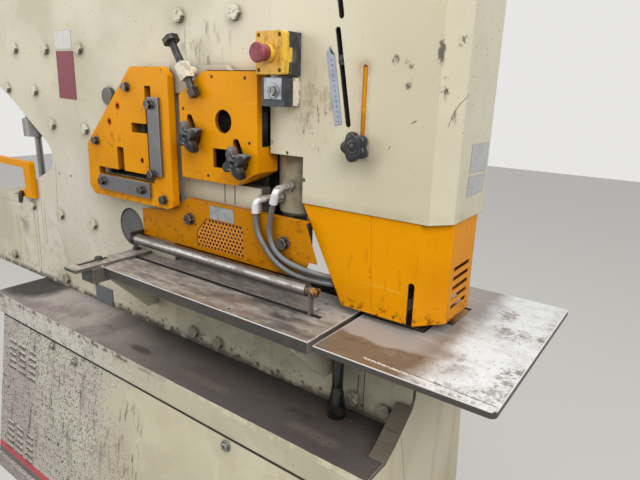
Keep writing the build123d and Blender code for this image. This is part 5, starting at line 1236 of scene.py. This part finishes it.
def knobs():
    plastic = knob_plastic()
    for node, place in BAR_KNOBS.items():
        knob_piece(node, place, BAR_FACE - KNOB_GAP, BAR_KNOB_FORM, BAR_CENTRE, plastic)
    knob_piece("guard_knob", GUARD_KNOB, PLATE_FACE - KNOB_GAP, GUARD_KNOB_FORM, GUARD_CENTRE, plastic)


def round_heads(name, places, profile, steps, *look, **options):
    """A round head at each (x, z, face) place, numbered from 1."""
    for i, (x, z, face) in enumerate(places):
        rings = [circle(radius, height, steps) for radius, height in profile]
        piece_name = f"{name}_{i + 1}"
        new_piece(piece_name, ring_mesh(piece_name, rings, x, z, face), *look, **options)


def small_screws():
    """Pan-head screws on the bar guard and washered bolts on the front panel."""
    dark = black_steel("screw_steel", (52, 48, 45))
    on_guard = [(x, z, BAR_FACE) for x, z in BAR_SCREWS]
    round_heads("bar_screw", on_guard, SCREW_HEAD, SMALL_STEPS, dark, "dark_steel", smooth=True)
    grey = bare_steel("panel_bolt_steel", (150, 148, 142), 0.35, 0.6)
    round_heads("panel_bolt", PANEL_BOLTS, WASHERED_HEAD, ROUND_STEPS, grey, "bare_steel")


def seen_directly(tree):
    """1 for rays from the camera and for those that a mirror or a clear piece sends on."""
    paths = tree.nodes.new("ShaderNodeLightPath")
    seen = paths.outputs["Is Camera Ray"]
    for name in ("Is Glossy Ray", "Is Transmission Ray"):
        larger = tree.nodes.new("ShaderNodeMath")
        larger.operation = "MAXIMUM"
        tree.links.new(seen, larger.inputs[0])
        tree.links.new(paths.outputs[name], larger.inputs[1])
        seen = larger.outputs[0]
    return seen


def make_floor():
    sides = ((-1, -1), (1, -1), (1, 1), (-1, 1))
    corners = [(x * FLOOR_HALF, y * FLOOR_HALF, FLOOR_TOP) for x, y in sides]
    mesh = mesh_of("floor", corners, [(0, 1, 2, 3)])
    s = Surface("floor_material", (150, 148, 143), 0.8)
    s.cover(0.25, s.noise(1.5, 4), (138, 136, 131))
    s.shader.inputs["Emission Color"].default_value = (1, 0.985, 0.95, 1)
    glow = s.share(seen_directly(s.tree), FLOOR_GLOW)
    set_input(s.tree, s.shader.inputs["Emission Strength"], glow)
    mesh.materials.append(s.done())
    floor = add_object("floor", mesh)


def light_world():
    world = bpy.data.worlds.new("world")
    bpy.context.scene.world = world
    world.use_nodes = True
    tree = world.node_tree
    back = tree.nodes["Background"]
    mix = tree.nodes.new("ShaderNodeMix")
    mix.data_type = "FLOAT"
    tree.links.new(seen_directly(tree), mix.inputs[0])
    mix.inputs[2].default_value = WORLD_LIGHT
    mix.inputs[3].default_value = WORLD_SEEN
    tree.links.new(mix.outputs[0], back.inputs["Strength"])
    back.inputs["Color"].default_value = (1, 0.99, 0.97, 1)
    for name, place, aim, size, power in LAMPS:
        data = bpy.data.lights.new(name, "AREA")
        data.size = size
        data.energy = power
        light = add_object(name, data)
        light.location = place
        light.rotation_euler = (Vector(aim) - Vector(place)).to_track_quat("-Z", "Y").to_euler()


def finish_nodes():
    """Gives every CAD node its material."""
    looks = (
        (plate_paint(), "front_plate rear_plate left_die shear_cylinder punch_cylinder left_cylinder"
         " oil_tank"),
        (black_steel("beam_steel", (52, 48, 44), 0.5), "rocking_beam"),
        (bolt_paint(), "tie_bolts"),
        (head_paint(), "head_cover top_cover"),
        (cabinet_paint(), "front_panel rear_panel base_frame"),
        (cheek_paint(), "right_cheek"),
        (ledge_paint(), "ledge_trays"),
        (section_guard_paint(), "section_guard"),
        (bar_guard_paint(), "bar_guard"),
        (tool_guard_paint(), "tool_guard"),
        (fork_paint(), "left_fork"),
        (flat_guard_paint(), "flat_guard"),
        (screen_paint(), "guard_screen"),
        (shear_table_steel(), "shear_table side_stop"),
        (punch_table_steel(), "punch_table"),
        (bolster_steel(), "die_bolster"),
        (strip_steel(), "guide_strips"),
        (tube_steel(), "guard_tube"),
        (rod_steel(), "tube_rod"),
        (bare_steel("pin_steel", (98, 94, 90)), "pivot_pin"),
        (bare_steel("bare_steel"), "die punch punch_ram left_ram shear_rod hold_down_rod bar_rest_1"
         " bar_rest_2 stripper key"),
        (bare_steel("blade_steel", (58, 55, 52)), "fixed_blades moving_blades"),
        (disc_steel(), "cover_disc"),
        (bolt_steel(), "hex_bolts"),
        (black_steel("black_steel", (58, 57, 56)), "stroke_pointer clamp_foot clamp_screw"),
        (bracket_paint(), "shear_bracket pump_motor"),
        (hold_down_paint(), "hold_down_cylinder"),
        (moulded("switch_black", (40, 42, 45)), "estop_base"),
        (key_box_paint(), "key_box"),
        (moulded("chute_black", (20, 20, 21), 0.18, 0.08), "chute"),
        (switch_yellow(), "estop_cover"),
        (switch_red(), "estop_button"))
    for material, nodes in looks:
        for node in nodes.split():
            materials = NODES[node].data.materials
            materials.clear()
            materials.append(material)


def rule_strip():
    """Blue-grey scale beside the pointer's slot, with a row of dots and its zero mark."""
    metal = blank_plate("rule_metal", (146, 154, 168), (120, 126, 136), 0.4, 0.6)
    dark = plain_color("rule_ink", (36, 36, 38), 0.6)
    flat_piece("rule_strip", RULE, RULE_THICK, on_front(PLATE_FACE), metal, "bare_steel")
    face = PLATE_FACE - RULE_THICK / MM
    verts, faces = [], []
    for k in range(RULE_DOTS):
        centre = Vector(RULE_FIRST).lerp(Vector(RULE_LAST), k / (RULE_DOTS - 1))
        dot = circle(DOT_RADIUS, DOT_RISE, DOT_STEPS)
        faces.append(tuple(range(len(verts), len(verts) + len(dot))))
        verts += [(x + centre.x * MM, y + face * MM, z + centre.y * MM) for x, y, z in dot]
    new_piece("rule_dots", mesh_of("rule_dots", verts, faces), dark, "dark_steel")
    flat_piece("rule_zero", RULE_ZERO, ZERO_THICK, on_front(face), dark, "dark_steel")


def sign_plates():
    """Plain plates where the machine carries signs."""
    maroon = blank_plate("maroon_plate", (124, 40, 58), (104, 32, 48), 0.42)
    pale = blank_plate("pale_plate", (206, 206, 200), (180, 178, 172), 0.42)
    grey = blank_plate("grey_plate", (186, 188, 188), (158, 160, 160), 0.4, 0.1)
    silver = blank_plate("silver_plate", (158, 160, 160), (108, 106, 102), 0.4, 0.2)
    blue = blank_plate("blue_plate", (108, 112, 118), (92, 94, 98), 0.45, 0.2)
    front = on_front(PLATE_FACE)
    end = on_end(HEAD_END)
    for name, outline, thickness, place, material, slot in (
            ("maroon_sign", ((-577.6, 1445), (-481, 1444), (-486, 1302), (-584, 1305)), 0.001, front,
             maroon, "dark_steel"),
            ("pale_sign", ((-577, 1503), (-486, 1503), (-486, 1450), (-577, 1450)), 0.001, front,
             pale, "table_steel"),
            ("guard_sign", ((114, 1066), (200, 1066), (200, 1031), (114, 1031)), 0.001,
             on_front(FLAT_FACE), silver, "bare_steel"),
            ("ledge_sign", ((-480, 644), (-385, 644), (-385, 702), (-480, 702)), 0.003, front, blue,
             "bare_steel"),
            ("end_sign_1", ((-24, 1260), (70, 1260), (69.5, 1201), (-26, 1205)), 0.001, end, grey,
             "bare_steel"),
            ("end_sign_2", ((-27, 1197), (69, 1195), (63.5, 1158), (-28, 1157)), 0.001, end, grey,
             "bare_steel")):
        flat_piece(name, outline, thickness, place, material, slot, SIGN_BEVEL)


make_camera()
rubber = hose_rubber()
for node, route, length in HOSES:
    hose_piece(node, route, rubber)
finish_nodes()
knobs()
small_screws()
rule_strip()
sign_plates()
make_floor()
light_world()

bpy.context.scene.view_settings.view_transform = "Standard"
